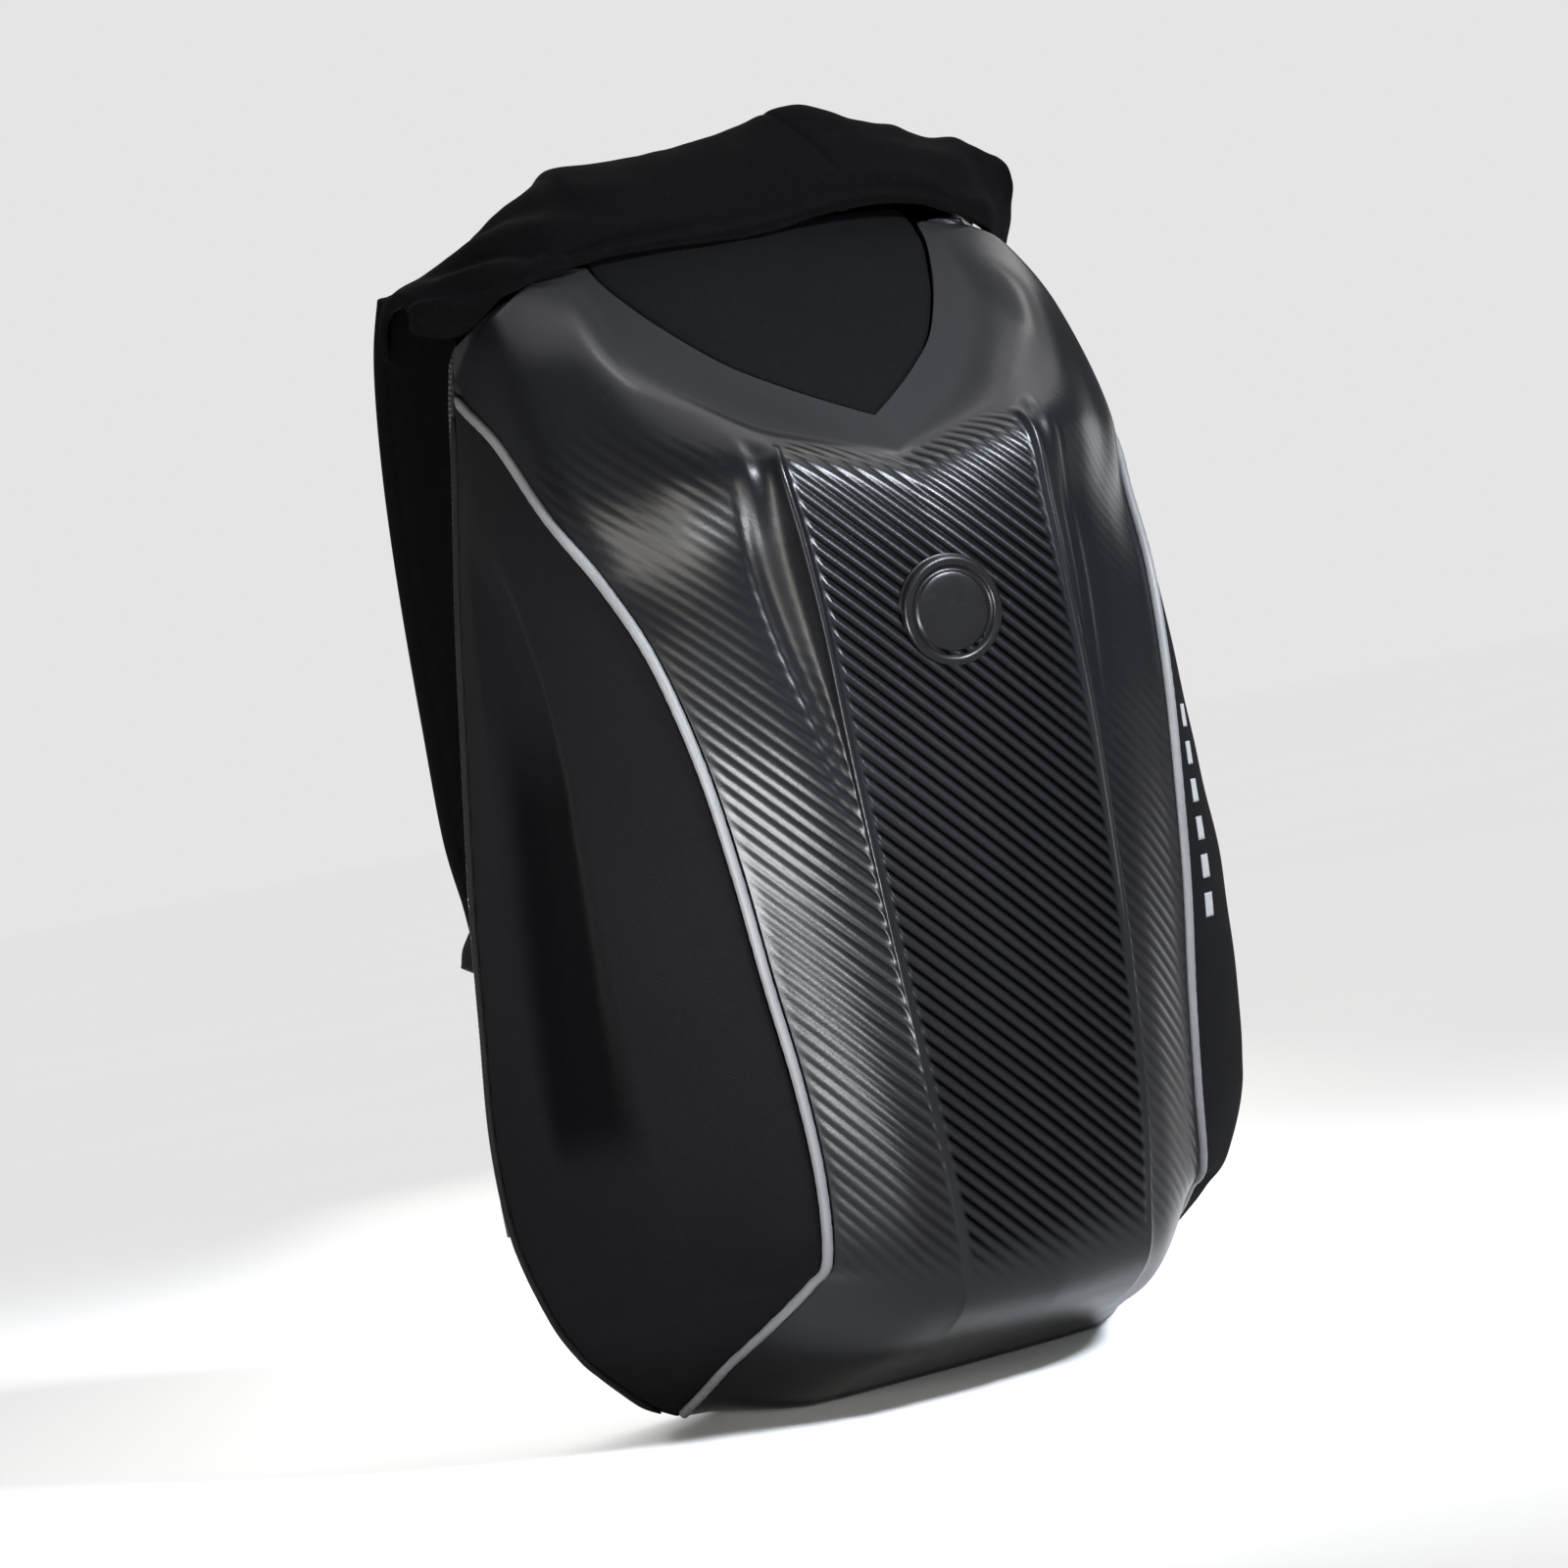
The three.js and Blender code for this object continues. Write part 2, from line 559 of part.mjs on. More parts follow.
// The half loop further back, drawn in by the taper of the sides and by an inset. depthOf(front) gives the
// depth behind the rim plane at a point where the gusset's front edge is at front.
function rimHalfAt(depthOf, inset) {
  const half = rimHalf();
  return half.map(([x, y, z], k) => {
    const before = k > 0 ? half[k - 1] : [-half[1][0], 0, half[1][2]];
    const after = k < half.length - 1 ? half[k + 1] : [-half[k - 1][0], 0, half[k - 1][2]];
    const along = new THREE.Vector2(after[0] - before[0], after[2] - before[2]).normalize();
    const depth = depthOf(y + fitGap);
    const drawn = inset + gussetTaper * Math.max(depth - y, 0);
    return new THREE.Vector3(x - drawn * along.y, depth, z + inset * along.x);
  });
}
// A level between the gusset's front and back edges
function gussetLevel(share) {
  return (front) => front + share * (gussetDepth - front);
}
function wholeLoop(half) {
  const left = half.slice(1, -1).reverse().map((p) => new THREE.Vector3(-p.x, p.y, p.z));
  return [...half, ...left];
}

const zipLevels = [zipFront / gussetDepth, (zipFront + zipWidth) / gussetDepth];
function makeGusset() {
  const levels = [0, ...zipLevels, 1].map(gussetLevel);
  const outer = levels.map((level) => wholeLoop(rimHalfAt(level, 0)));
  const inner = levels.map((level) => wholeLoop(rimHalfAt(level, gussetWall)));
  const loops = [...outer, ...inner.reverse()];
  const sections = loops[0].map((unused, k) => loops.map((loop) => loop[k]));
  addPiece('rear_gusset', loftSolid(sections, true), darkCloth);
}

// The padded back panel, flat behind, with a rounded edge
function makeBackPanel() {
  const clear = gussetWall + 3 * fitGap;
  const rear = panelFront + panelThickness;
  const layers = [
    [clear, panelFront],
    [clear, rear - panelRound],
    [clear + panelRound * panelEase, rear - panelRound * panelEase],
    [clear + panelRound, rear],
  ];
  const sections = layers.map(([inset, depth]) => {
    const loop = wholeLoop(rimHalfAt(() => Math.min(depth, gussetDepth), inset));
    return loop.map((p) => p.setY(depth));
  });
  addPiece('back_panel', loftSolid(sections), darkCloth);
}

// The zip lies on the gusset from low on one side over the top to the other side, with a slider at each end
function makeZip() {
  const rises = [2 * fitGap, 2 * fitGap + zipThickness];
  const stripe = [[0, 0], [0, 1], [1, 1], [1, 0]];
  const halves = stripe.map(([edge, face]) => (
    rimHalfAt(gussetLevel(zipLevels[edge]), -rises[face]).filter((p) => p.z > zipFoot)
  ));
  const count = halves[0].length;
  const sections = Array.from({ length: 2 * count - 1 }, (unused, k) => halves.map((half) => {
    const p = half[k < count ? k : 2 * count - 2 - k];
    return k < count ? p.clone() : new THREE.Vector3(-p.x, p.y, p.z);
  }));
  addPiece('main_zip', loftSolid(sections), blackPlastic);
  [['zip_slider_left', -1], ['zip_slider_right', 1]].forEach(([name, side]) => {
    const shape = new THREE.Shape();
    shape.moveTo(-zipWidth / 2, 0);
    shape.lineTo(zipWidth / 2, 0);
    shape.lineTo(zipWidth / 3, -sliderLength);
    shape.lineTo(-zipWidth / 3, -sliderLength);
    const slider = addPiece(name, extrude(shape, sliderThickness), blackPlastic);
    const foot = sections[side > 0 ? 0 : sections.length - 1];
    const middle = foot.reduce((sum, p) => sum.add(p), new THREE.Vector3()).divideScalar(4);
    const lean = Math.atan(gussetTaper);
    const outward = new THREE.Vector3(side * Math.cos(lean), Math.sin(lean), 0);
    slider.rotation.set(Math.PI / 2, 0, side * Math.PI / 2 + side * lean, 'ZXY');
    slider.position.copy(middle).addScaledVector(outward, zipThickness / 2 + fitGap);
    slider.position.z -= fitGap;
  });
}

function extrude(shape, depth) {
  const geometry = new THREE.ExtrudeGeometry(shape, { depth, bevelEnabled: false, curveSegments: 6 });
  geometry.translate(0, 0, -depth / 2);
  geometry.deleteAttribute('normal');
  geometry.deleteAttribute('uv');
  return mergeVertices(geometry, 1e-4);
}

function makeBinding(name, side) {
  const lift = bindingRadius + fitGap;
  const points = rimHalf().filter(([x, y, z]) => x > bindingLeast && z < bindingTop)
    .map((p) => mirrored(p, side));
  const stations = stationsAlong(points, new THREE.Vector3(side, 0, 0));
  stations.forEach((station) => station.at.addScaledVector(station.side, lift));
  addPiece(name, sweepSolid(stations, circleOutline(bindingRadius, beadSides - 2)), reflective);
}

// The blank round badge on the front panel
function makeBadge() {
  const face = badgeRadius - badgeRim;
  const profile = [
    [0, 0],
    [badgeRadius - badgeBevel, 0],
    [badgeRadius, badgeBevel],
    [badgeRadius, badgeThickness - badgeBevel],
    [badgeRadius - badgeBevel, badgeThickness],
    [face, badgeThickness],
    [face - badgeBevel, badgeThickness - badgeBevel],
    [0, badgeThickness - badgeBevel],
  ].map(([x, y]) => new THREE.Vector2(x, y));
  const geometry = new THREE.LatheGeometry(profile, badgeSides);
  geometry.deleteAttribute('normal');
  geometry.deleteAttribute('uv');
  const badge = addPiece('badge', mergeVertices(geometry, 1e-4), blackPlastic);
  const heightFrom = (row) => Math.abs(shellPoint(row, 0)[2] - badgeHeight);
  const rows = steps(0, lastRow, 400);
  const row = rows.reduce((best, k) => (heightFrom(k) < heightFrom(best) ? k : best));
  const above = shellPoint(row - 0.25, 0);
  const below = shellPoint(row + 0.25, 0);
  badge.rotation.x = Math.PI - Math.atan2(above[1] - below[1], above[2] - below[2]);
  badge.position.set(0, shellPoint(row, 0.4)[1] - 2 * fitGap, badgeHeight);
}

function strapPoint(t) {
  const rows = strapRows.map(({ out, back, down }) => [
    out * strapOut,
    panelFront + panelThickness + back * strapBow,
    strapTop - down * (strapTop - strapEnd),
  ]);
  return splineAt(rows, t);
}
function makeStrap(name, side) {
  const points = steps(0, strapRows.length - 1, 24).map((t) => mirrored(strapPoint(t), side));
  const stations = stationsAlong(points, new THREE.Vector3(1, 0, 0));
  const widthAt = (share) => strapWidth + (strapEndWidth - strapWidth) * smooth(0.1, 1, share);
  addPiece(name, sweepSolid(stations, padOutline(widthAt, strapThickness, strapRound)), darkCloth);
}

// The lean of the strap's end from upright, and the way down along it
const strapTail = [strapPoint(strapRows.length - 1.1), strapPoint(strapRows.length - 1)];
const strapLean = Math.atan2(strapTail[1][1] - strapTail[0][1], strapTail[0][2] - strapTail[1][2]);
function hangDown(length) {
  return new THREE.Vector3(0, length * Math.sin(strapLean), -length * Math.cos(strapLean));
}

// The ladder buckle hangs under the strap's end, and the webbing runs from it down to the foot of the panel
function makeBuckle(name, side) {
  const w = buckleWidth / 2;
  const h = buckleHeight / 2;
  const frame = [[-w, -h], [w, -h], [w, h], [-w, h]];
  const shape = new THREE.Shape(frame.map(([x, y]) => new THREE.Vector2(x, y)));
  const slot = w - buckleBar;
  [h - buckleBar - buckleSlot, -h + buckleBar].forEach((low) => {
    const high = low + buckleSlot;
    const corners = [[-slot, low], [-slot, high], [slot, high], [slot, low]];
    shape.holes.push(new THREE.Path(corners.map(([x, y]) => new THREE.Vector2(x, y))));
  });
  const buckle = addPiece(name, extrude(shape, buckleThickness), blackPlastic);
  const end = strapPoint(strapRows.length - 1);
  buckle.rotation.x = Math.PI / 2 + strapLean;
  buckle.position.set(side * end[0], end[1], end[2]).add(hangDown(buckleHeight / 2 + 2 * fitGap));
}
function makeWebbing(name, side) {
  const end = strapPoint(strapRows.length - 1);
  const top = new THREE.Vector3(...end).add(hangDown(buckleHeight + 4 * fitGap));
  const rear = panelFront + panelThickness + fitGap + webbingThickness / 2;
  const fall = top.z - webbingFoot;
  const rows = [
    top.toArray(),
    [end[0], rear + webbingThickness, top.z - 0.3 * fall],
    [end[0], rear, top.z - 0.55 * fall],
    [end[0], rear, webbingFoot],
  ];
  const points = steps(0, rows.length - 1, 10).map((t) => mirrored(splineAt(rows, t), side));
  const stations = stationsAlong(points, new THREE.Vector3(1, 0, 0));
  const flat = padOutline(() => webbingWidth, webbingThickness, webbingRound);
  addPiece(name, sweepSolid(stations, flat), darkCloth);
}

makeShell();
makeShield();
makeYoke();
makeSidePanel('side_panel_left', -1);
makeSidePanel('side_panel_right', 1);
makePiping('piping_left', -1);
makePiping('piping_right', 1);
makeBinding('rim_binding_left', -1);
makeBinding('rim_binding_right', 1);
makeBadge();
makeGusset();
makeZip();
makeBackPanel();
[['left', -1], ['right', 1]].forEach(([name, side]) => {
  makeStrap('shoulder_strap_' + name, side);
  makeBuckle('strap_buckle_' + name, side);
  makeWebbing('strap_webbing_' + name, side);
});

export default pack;
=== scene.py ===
# A hard shell backpack with piped cloth sides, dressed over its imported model. Lengths here are millimetres
# in the bag's own frame: the shell's front faces -y, z is up, and the base stands at z = 0.
import math
import bmesh
import bpy
import numpy as np
from mathutils import Matrix, Vector


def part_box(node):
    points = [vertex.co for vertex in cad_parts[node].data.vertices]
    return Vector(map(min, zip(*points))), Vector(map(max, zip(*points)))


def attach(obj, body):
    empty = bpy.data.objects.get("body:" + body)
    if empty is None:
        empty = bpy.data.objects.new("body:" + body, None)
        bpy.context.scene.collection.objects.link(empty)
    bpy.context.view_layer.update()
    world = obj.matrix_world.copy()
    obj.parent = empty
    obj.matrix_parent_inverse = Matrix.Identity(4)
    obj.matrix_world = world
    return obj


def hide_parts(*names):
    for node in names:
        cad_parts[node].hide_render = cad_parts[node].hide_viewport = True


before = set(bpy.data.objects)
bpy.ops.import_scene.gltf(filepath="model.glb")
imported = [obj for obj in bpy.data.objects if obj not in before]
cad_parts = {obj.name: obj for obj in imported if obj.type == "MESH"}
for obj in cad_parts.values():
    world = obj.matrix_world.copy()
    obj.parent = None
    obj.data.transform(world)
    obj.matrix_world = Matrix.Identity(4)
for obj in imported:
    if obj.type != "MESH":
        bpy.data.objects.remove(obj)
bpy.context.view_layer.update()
mm = 0.001
toRight = np.array([1.0, 0, 0])

# The body that every piece is worked out from. rimPlane is the plane where shell and soft back meet.
body = dict(halfWidth=158, depth=143, foldHeight=438, rimPlane=-9, gussetDepth=32, gussetTaper=0.53,
            gap=0.35, tipDepth=113.57, tipHeight=360.71, openingLength=105, openingHalfWidth=70.5,
            openingSlope=math.radians(47.4))

# Sections from the shield's opening to the back of the base: x, y forwards and z as shares of half width,
# depth and fold height, at mid, crease, bevel, flank, shoulder, corner and seam
upperSections = np.array([
    [[0, 0.867, 0.796], [0.241, 0.722, 0.834], [0.358, 0.622, 0.87], [0.472, 0.475, 0.924],
     [0.519, 0.294, 0.993], [0.696, 0.294, 0.966], [0.734, 0.012, 0.918]],
    [[0, 0.899, 0.782], [0.294, 0.853, 0.816], [0.386, 0.783, 0.838], [0.513, 0.664, 0.872],
     [0.614, 0.524, 0.92], [0.728, 0.434, 0.9], [0.75, 0.28, 0.863]],
    [[0, 0.93, 0.763], [0.329, 0.94, 0.79], [0.402, 0.9, 0.792], [0.532, 0.8, 0.799],
     [0.637, 0.685, 0.803], [0.722, 0.608, 0.797], [0.749, 0.514, 0.788]],
])
# Further down: mid y z, crease x y z, bevel x y z, seam x y z, and how round the shoulder is
lowerSections = np.array([
    [0.966, 0.712, 0.323, 0.972, 0.726, 0.399, 0.892, 0.721, 0.7, 0.65, 0.724, 1.35],
    [0.986, 0.648, 0.32, 0.993, 0.653, 0.383, 0.92, 0.653, 0.658, 0.762, 0.655, 1.3],
    [0.997, 0.559, 0.318, 0.997, 0.559, 0.342, 0.969, 0.559, 0.617, 0.822, 0.564, 1.25],
    [0.999, 0.468, 0.31, 0.995, 0.468, 0.32, 0.986, 0.468, 0.585, 0.832, 0.473, 1.25],
    [0.997, 0.377, 0.299, 0.99, 0.377, 0.307, 0.983, 0.377, 0.557, 0.822, 0.381, 1.25],
    [0.99, 0.285, 0.285, 0.979, 0.285, 0.291, 0.974, 0.285, 0.522, 0.804, 0.29, 1.25],
    [0.972, 0.201, 0.269, 0.962, 0.203, 0.275, 0.957, 0.203, 0.503, 0.776, 0.21, 1.3],
    [0.941, 0.134, 0.253, 0.93, 0.139, 0.259, 0.923, 0.139, 0.503, 0.724, 0.144, 1.35],
    [0.888, 0.087, 0.247, 0.881, 0.091, 0.256, 0.874, 0.0925, 0.508, 0.629, 0.125, 1.4],
    [0.769, 0.059, 0.253, 0.755, 0.062, 0.266, 0.748, 0.063, 0.532, 0.503, 0.103, 1.6],
    [0.601, 0.04, 0.266, 0.587, 0.041, 0.285, 0.58, 0.0415, 0.557, 0.336, 0.078, 1.9],
    [0.406, 0.024, 0.285, 0.392, 0.024, 0.304, 0.385, 0.0242, 0.576, 0.168, 0.055, 2.2],
    [0.231, 0.008, 0.291, 0.224, 0.008, 0.316, 0.217, 0.008, 0.589, 0.035, 0.034, 2.5],
    [0.15, 0, 0.297, 0.143, 0, 0.329, 0.136, 0, 0.598, -0.063, 0.0194, 2.5],
    [-0.168, 0, 0.297, -0.168, 0, 0.329, -0.168, 0, 0.604, -0.168, 0.0046, 2.5],
])
shoulderSteps = [0.28, 0.55, 0.8]
# The rim beside each section from the lip down: x, back and z shares, the side's bulge and its scoop
sideSections = np.array([
    [0.734, 0, 0.916, 0, 0], [0.759, 0, 0.858, 0.018, 0], [0.797, 0, 0.783, 0.045, 0],
    [0.829, 0, 0.719, 0.066, 0.03], [0.859, 0, 0.651, 0.08, 0.055], [0.899, 0, 0.559, 0.088, 0.063],
    [0.937, 0, 0.468, 0.097, 0.063], [0.966, 0, 0.377, 0.11, 0.06], [0.995, 0, 0.279, 0.105, 0.036],
    [0.984, 0.06, 0.196, 0.088, 0], [0.918, 0.25, 0.123, 0.066, 0], [0.851, 0.41, 0.082, 0.05, 0],
    [0.801, 0.52, 0.062, 0.036, 0], [0.75, 0.59, 0.0434, 0.025, 0], [0.706, 0.66, 0.0285, 0.016, 0],
    [0.668, 0.7, 0.018, 0.009, 0], [0.636, 0.73, 0.0103, 0.004, 0], [0.608, 0.75, 0.0046, 0, 0],
])
rimTop = np.array([[0.715, 0.943], [0.665, 0.966], [0.57, 0.982], [0.443, 0.992], [0.2, 0.997], [0, 0.998]])
rimBase = np.array([[0.51, 0.0012], [0.38, 0], [0, 0]])
openingEdge = np.array([[0, 0], [0.094, 0.18], [0.213, 0.383], [0.376, 0.611], [0.597, 0.804],
                        [0.773, 0.915], [0.9, 0.98], [1, 1]])


def smooth(low, high, value):
    # rises from 0 to 1 between low and high, level at both: 3t^2 - 2t^3
    t = np.clip((np.asarray(value, float) - low) / (high - low), 0, 1)
    return t * t * (3 - 2 * t)


def bump(centre, width, value):
    # a bell of height 1 round a centre: exp(-(distance / width)^2)
    return np.exp(-((np.asarray(value, float) - centre) / width) ** 2)


def spline(rows, t):
    # uniform Catmull-Rom through the first axis of rows, ends reflected, t counted in rows
    rows = np.asarray(rows, float)
    t = np.asarray(t, float)
    k = np.clip(np.floor(t).astype(int), 0, len(rows) - 2)
    f = (t - k).reshape((-1,) + (1,) * (rows.ndim - 1))
    more = np.concatenate([2 * rows[:1] - rows[1:2], rows, 2 * rows[-1:] - rows[-2:-1]])
    a, b, c, d = more[k], more[k + 1], more[k + 2], more[k + 3]
    return b + 0.5 * f * (c - a + f * (2 * a - 5 * b + 4 * c - d + f * (3 * (b - c) + d - a)))


def stops(*spans):
    # one rising line of values out of joined spans of (from, to, count)
    parts = [np.linspace(*span) for span in spans]
    return np.concatenate([part[:-1] for part in parts[:-1]] + [parts[-1]])


def unit(rows):
    return rows / np.linalg.norm(rows, axis=-1, keepdims=True)


def heading(path):
    # the direction of a path at each of its points
    return unit(np.gradient(path, axis=0))


def squareTo(side, along):
    # side less its part along the path, at length 1: s - a (s . a)
    return unit(side - along * np.sum(side * along, -1, keepdims=True))


def circle(sides):
    angle = np.linspace(0, 2 * math.pi, sides, endpoint=False)
    return np.stack([np.cos(angle), np.sin(angle)], -1)


def pressed(value, power):
    # |v|^power with the sign of v, which squares off a circle where power is below 1
    return np.sign(value) * np.abs(value) ** power


def arcLength(points, axis):
    # running length along one axis of a grid of points, starting at 0
    step = np.linalg.norm(np.diff(points, axis=axis), axis=-1)
    zero = np.zeros_like(np.take(step, [0], axis=axis))
    return np.concatenate([zero, np.cumsum(step, axis=axis)], axis=axis)


def gridNormals(grid, closed=False):
    # cross product of the two directions of a grid; rows run down and columns right as seen from outside
    down = np.gradient(grid, axis=0)
    if closed:
        right = np.roll(grid, -1, axis=1) - np.roll(grid, 1, axis=1)
    else:
        right = np.gradient(grid, axis=1)
    normal = np.cross(down, right)
    return normal / np.maximum(np.linalg.norm(normal, axis=-1, keepdims=True), 1e-9)


def waves(points, size, seed):
    # soft noise without a lattice: the mean of sines of unlike direction and length, about -1 to 1
    pick = np.random.default_rng(seed)
    total = np.zeros(points.shape[:-1])
    for octave in range(9):
        way = pick.normal(size=3)
        way *= (0.6 + 0.25 * octave) / np.linalg.norm(way) * 2 * math.pi / size
        total += np.sin(points @ way + pick.uniform(0, 2 * math.pi)) / (1 + 0.35 * octave)
    return total / 3


def makeMesh(name, grids):
    # grids: a list of (points in mm, columns join up, uv or None, attributes). Quads between neighbours.
    verts, faces, uvs, offset = [], [], [], 0
    extra = {}
    for points, closed, uv, attributes in grids:
        rows, cols = points.shape[:2]
        verts.append(points.reshape(-1, 3) * mm)
        i = np.arange(rows - 1)[:, None]
        j = np.arange(cols if closed else cols - 1)[None, :]
        k = (j + 1) % cols
        quad = np.stack([i * cols + j, (i + 1) * cols + j, (i + 1) * cols + k, i * cols + k], -1)
        faces.append(quad.reshape(-1, 4) + offset)
        if uv is None:
            uv = np.stack([arcLength(points, 1), -arcLength(points, 0)], -1) * mm
        if closed:
            wide = np.concatenate([uv, uv[:, :1] + [[[0, 0]]]], 1)
            wide[:, -1, 0] = uv[:, -1, 0] + (uv[:, -1, 0] - uv[:, -2, 0])
        else:
            wide = uv
        corner = np.stack([wide[:-1, :-1], wide[1:, :-1], wide[1:, 1:], wide[:-1, 1:]], 2)
        uvs.append(corner.reshape(-1, 2))
        for key, value in attributes.items():
            extra.setdefault(key, []).append(np.broadcast_to(value, (rows, cols)).reshape(-1))
        offset += rows * cols
    verts, faces, uvs = np.concatenate(verts), np.concatenate(faces), np.concatenate(uvs)
    mesh = bpy.data.meshes.new(name)
    mesh.from_pydata(verts.tolist(), [], faces.tolist())
    layer = mesh.uv_layers.new(name="surface")
    layer.data.foreach_set("uv", uvs.astype(np.float32).reshape(-1))
    for key, values in extra.items():
        attribute = mesh.attributes.new(key, "FLOAT", "POINT")
        attribute.data.foreach_set("value", np.concatenate(values).astype(np.float32))
    mesh.polygons.foreach_set("use_smooth", [True] * len(faces))
    mesh.update()
    piece = bpy.data.objects.new(name, mesh)
    bpy.context.scene.collection.objects.link(piece)
    return piece


def mergeDoubles(piece, distance=0.02):
    # closes seams and poles, and turns all faces outwards
    work = bmesh.new()
    work.from_mesh(piece.data)
    bmesh.ops.remove_doubles(work, verts=work.verts, dist=distance * mm)
    bmesh.ops.recalc_face_normals(work, faces=work.faces)
    work.to_mesh(piece.data)
    work.free()


def makeTubes(name, side, *tubes):
    # closed tubes in one mesh, mirrored for the left side
    if side < 0:
        tubes = [mirrorX(rings)[:, ::-1] for rings in tubes]
    piece = makeMesh(name, [(rings, True, None, {}) for rings in tubes])
    mergeDoubles(piece)
    return piece


def addWall(piece, thickness):
    # cloth and skin are given their thickness inwards
    wall = piece.modifiers.new("wall", "SOLIDIFY")
    wall.thickness = thickness * mm
    wall.offset = -1
    wall.use_even_offset = True
    wall.use_quality_normals = True
    return wall


def place(piece, slotName, material, *nodes):
    # rides on the bag's one body, stands for its CAD nodes and takes its material
    piece.data.materials.clear()
    piece.data.materials.append(material)
    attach(piece, "root")
    if nodes:
        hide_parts(*nodes)
    return piece


def sweep(path, side, outline):
    # carries an outline of (across, out) pairs along a path: point + across * side + out * normal,
    # where side is made square to the path and normal is along x side. Ends close on their middle.
    along = heading(path)
    side = squareTo(side, along)
    face = np.cross(along, side)
    outline = np.asarray(outline, float)
    if outline.ndim == 2:
        outline = np.broadcast_to(outline, (len(path),) + outline.shape)
    rings = path[:, None] + outline[..., :1] * side[:, None] + outline[..., 1:] * face[:, None]
    return np.concatenate([capRings(rings[0])[::-1], rings, capRings(rings[-1])])


def capRings(ring):
    # rings that shrink to the middle of an end
    middle = ring.mean(0)
    return np.stack([middle + (ring - middle) * k for k in (0.85, 0.5, 0.0)])


def roundOutline(radiusX, radiusY, sides, power=2.0):
    # superellipse |x/rx|^n + |y/ry|^n = 1
    return np.array([radiusX, radiusY]) * pressed(circle(sides), 2 / power)


def flatTape(width, thick):
    # the section of a flat woven tape with rounded edges
    return roundOutline(width / 2, thick / 2, 20, 6)


def mirrorX(points):
    return points * [-1, 1, 1]


# The body's surface

def bodyPoint(shares):
    shares = np.asarray(shares, float)
    return np.stack([shares[..., 0] * body["halfWidth"], body["rimPlane"] - shares[..., 1] * body["depth"],
                     shares[..., 2] * body["foldHeight"]], -1)


def onSlope(along, out, raised=0.0):
    # the sloping plane of the opening: along runs up it from the tip, out across it, raised off it
    along, out, raised = np.broadcast_arrays(np.asarray(along, float), out, raised)
    c, s = math.cos(body["openingSlope"]), math.sin(body["openingSlope"])
    return np.stack([out, body["rimPlane"] - body["tipDepth"] + along * c - raised * s,
                     body["tipHeight"] + along * s + raised * c], -1)


def openingHalf(stop):
    # half width of the opening at a share of its length, smooth between the table's points
    fine = spline(openingEdge, np.linspace(0, len(openingEdge) - 1, 200))
    return np.interp(stop, fine[:, 0], fine[:, 1]) * body["openingHalfWidth"]


foldEnd = [0.74, 0.084, 0.957]
slopeStops = [0, 0.213, 0.376, 0.66, 1]
bodyRows = np.concatenate([
    np.concatenate([onSlope(np.array(slopeStops) * body["openingLength"],
                            np.interp(slopeStops, *openingEdge.T) * body["openingHalfWidth"]),
                    bodyPoint([[0.658, 0.252, 0.982], foldEnd])])[None],
    bodyPoint(upperSections),
    bodyPoint(np.stack([
        np.stack([
            [0, row[0], row[1]], row[2:5], row[5:8],
            *[row[5:8] + [step, step ** row[11], step ** row[11]] * (row[8:11] - row[5:8])
              for step in shoulderSteps],
            row[8:11]]) for row in lowerSections])),
])
lastRow = len(bodyRows) - 1
rimRows = sideSections * [body["halfWidth"], body["gussetDepth"], body["foldHeight"],
                          body["halfWidth"], body["halfWidth"]]
baseBack = sideSections[-1, 1] * body["gussetDepth"]


def seamAt(t):
    # the piping's seam between shell and side, at a row
    return spline(bodyRows[:, 6], t)


def rimAt(t):
    # the rim beside that row, with the side's bulge and scoop there
    rim = spline(rimRows, t - 1)
    return rim[:, :3] + [0, body["rimPlane"], 0], rim[:, 3], rim[:, 4]


# Pairs are where an effect begins and is complete, in rows down the bag or in columns out from its middle,
# but beadWidth narrows from its first value to its second
shellDetail = dict(
    wall=2.4,
    panelCrown=1.6, crownRows=(2.2, 3.4), crownEnd=(11, 13),     # the front panel bows out between its creases
    beadHeight=1.5, beadWidth=(1.7, 1.1), beadNarrows=(3.5, 6.5), beadStart=(2.25, 2.7), beadEnd=(7.6, 9.4),
    channelDepth=1.5, channelShare=0.16,                         # beside the bead, up to a share of the gap
    lineDepth=0.55, lineOut=4.4, lineWidth=0.9, lineStart=(2.7, 3.3), lineEnd=(5.0, 7.2),
    waviness=0.35, waveSize=90, plainFoot=(15, 16.5),
    lipRoll=3.2, lipRows=(1.2, 1.75), lipColumns=(3.9, 4.6),
    tuck=15, tuckColumns=(3.55, 4.05), tuckWay=(-0.25, 0.75, 0.7),   # under the yoke the edge turns in and up
    paintedShadeUnderYokeColumns=(2.8, 3.3), thinColumns=(2.4, 3.0), thinRows=(10, 26), thinnest=0.96,
    seamInset=2.3, insetRows=(0.7, 1.12))

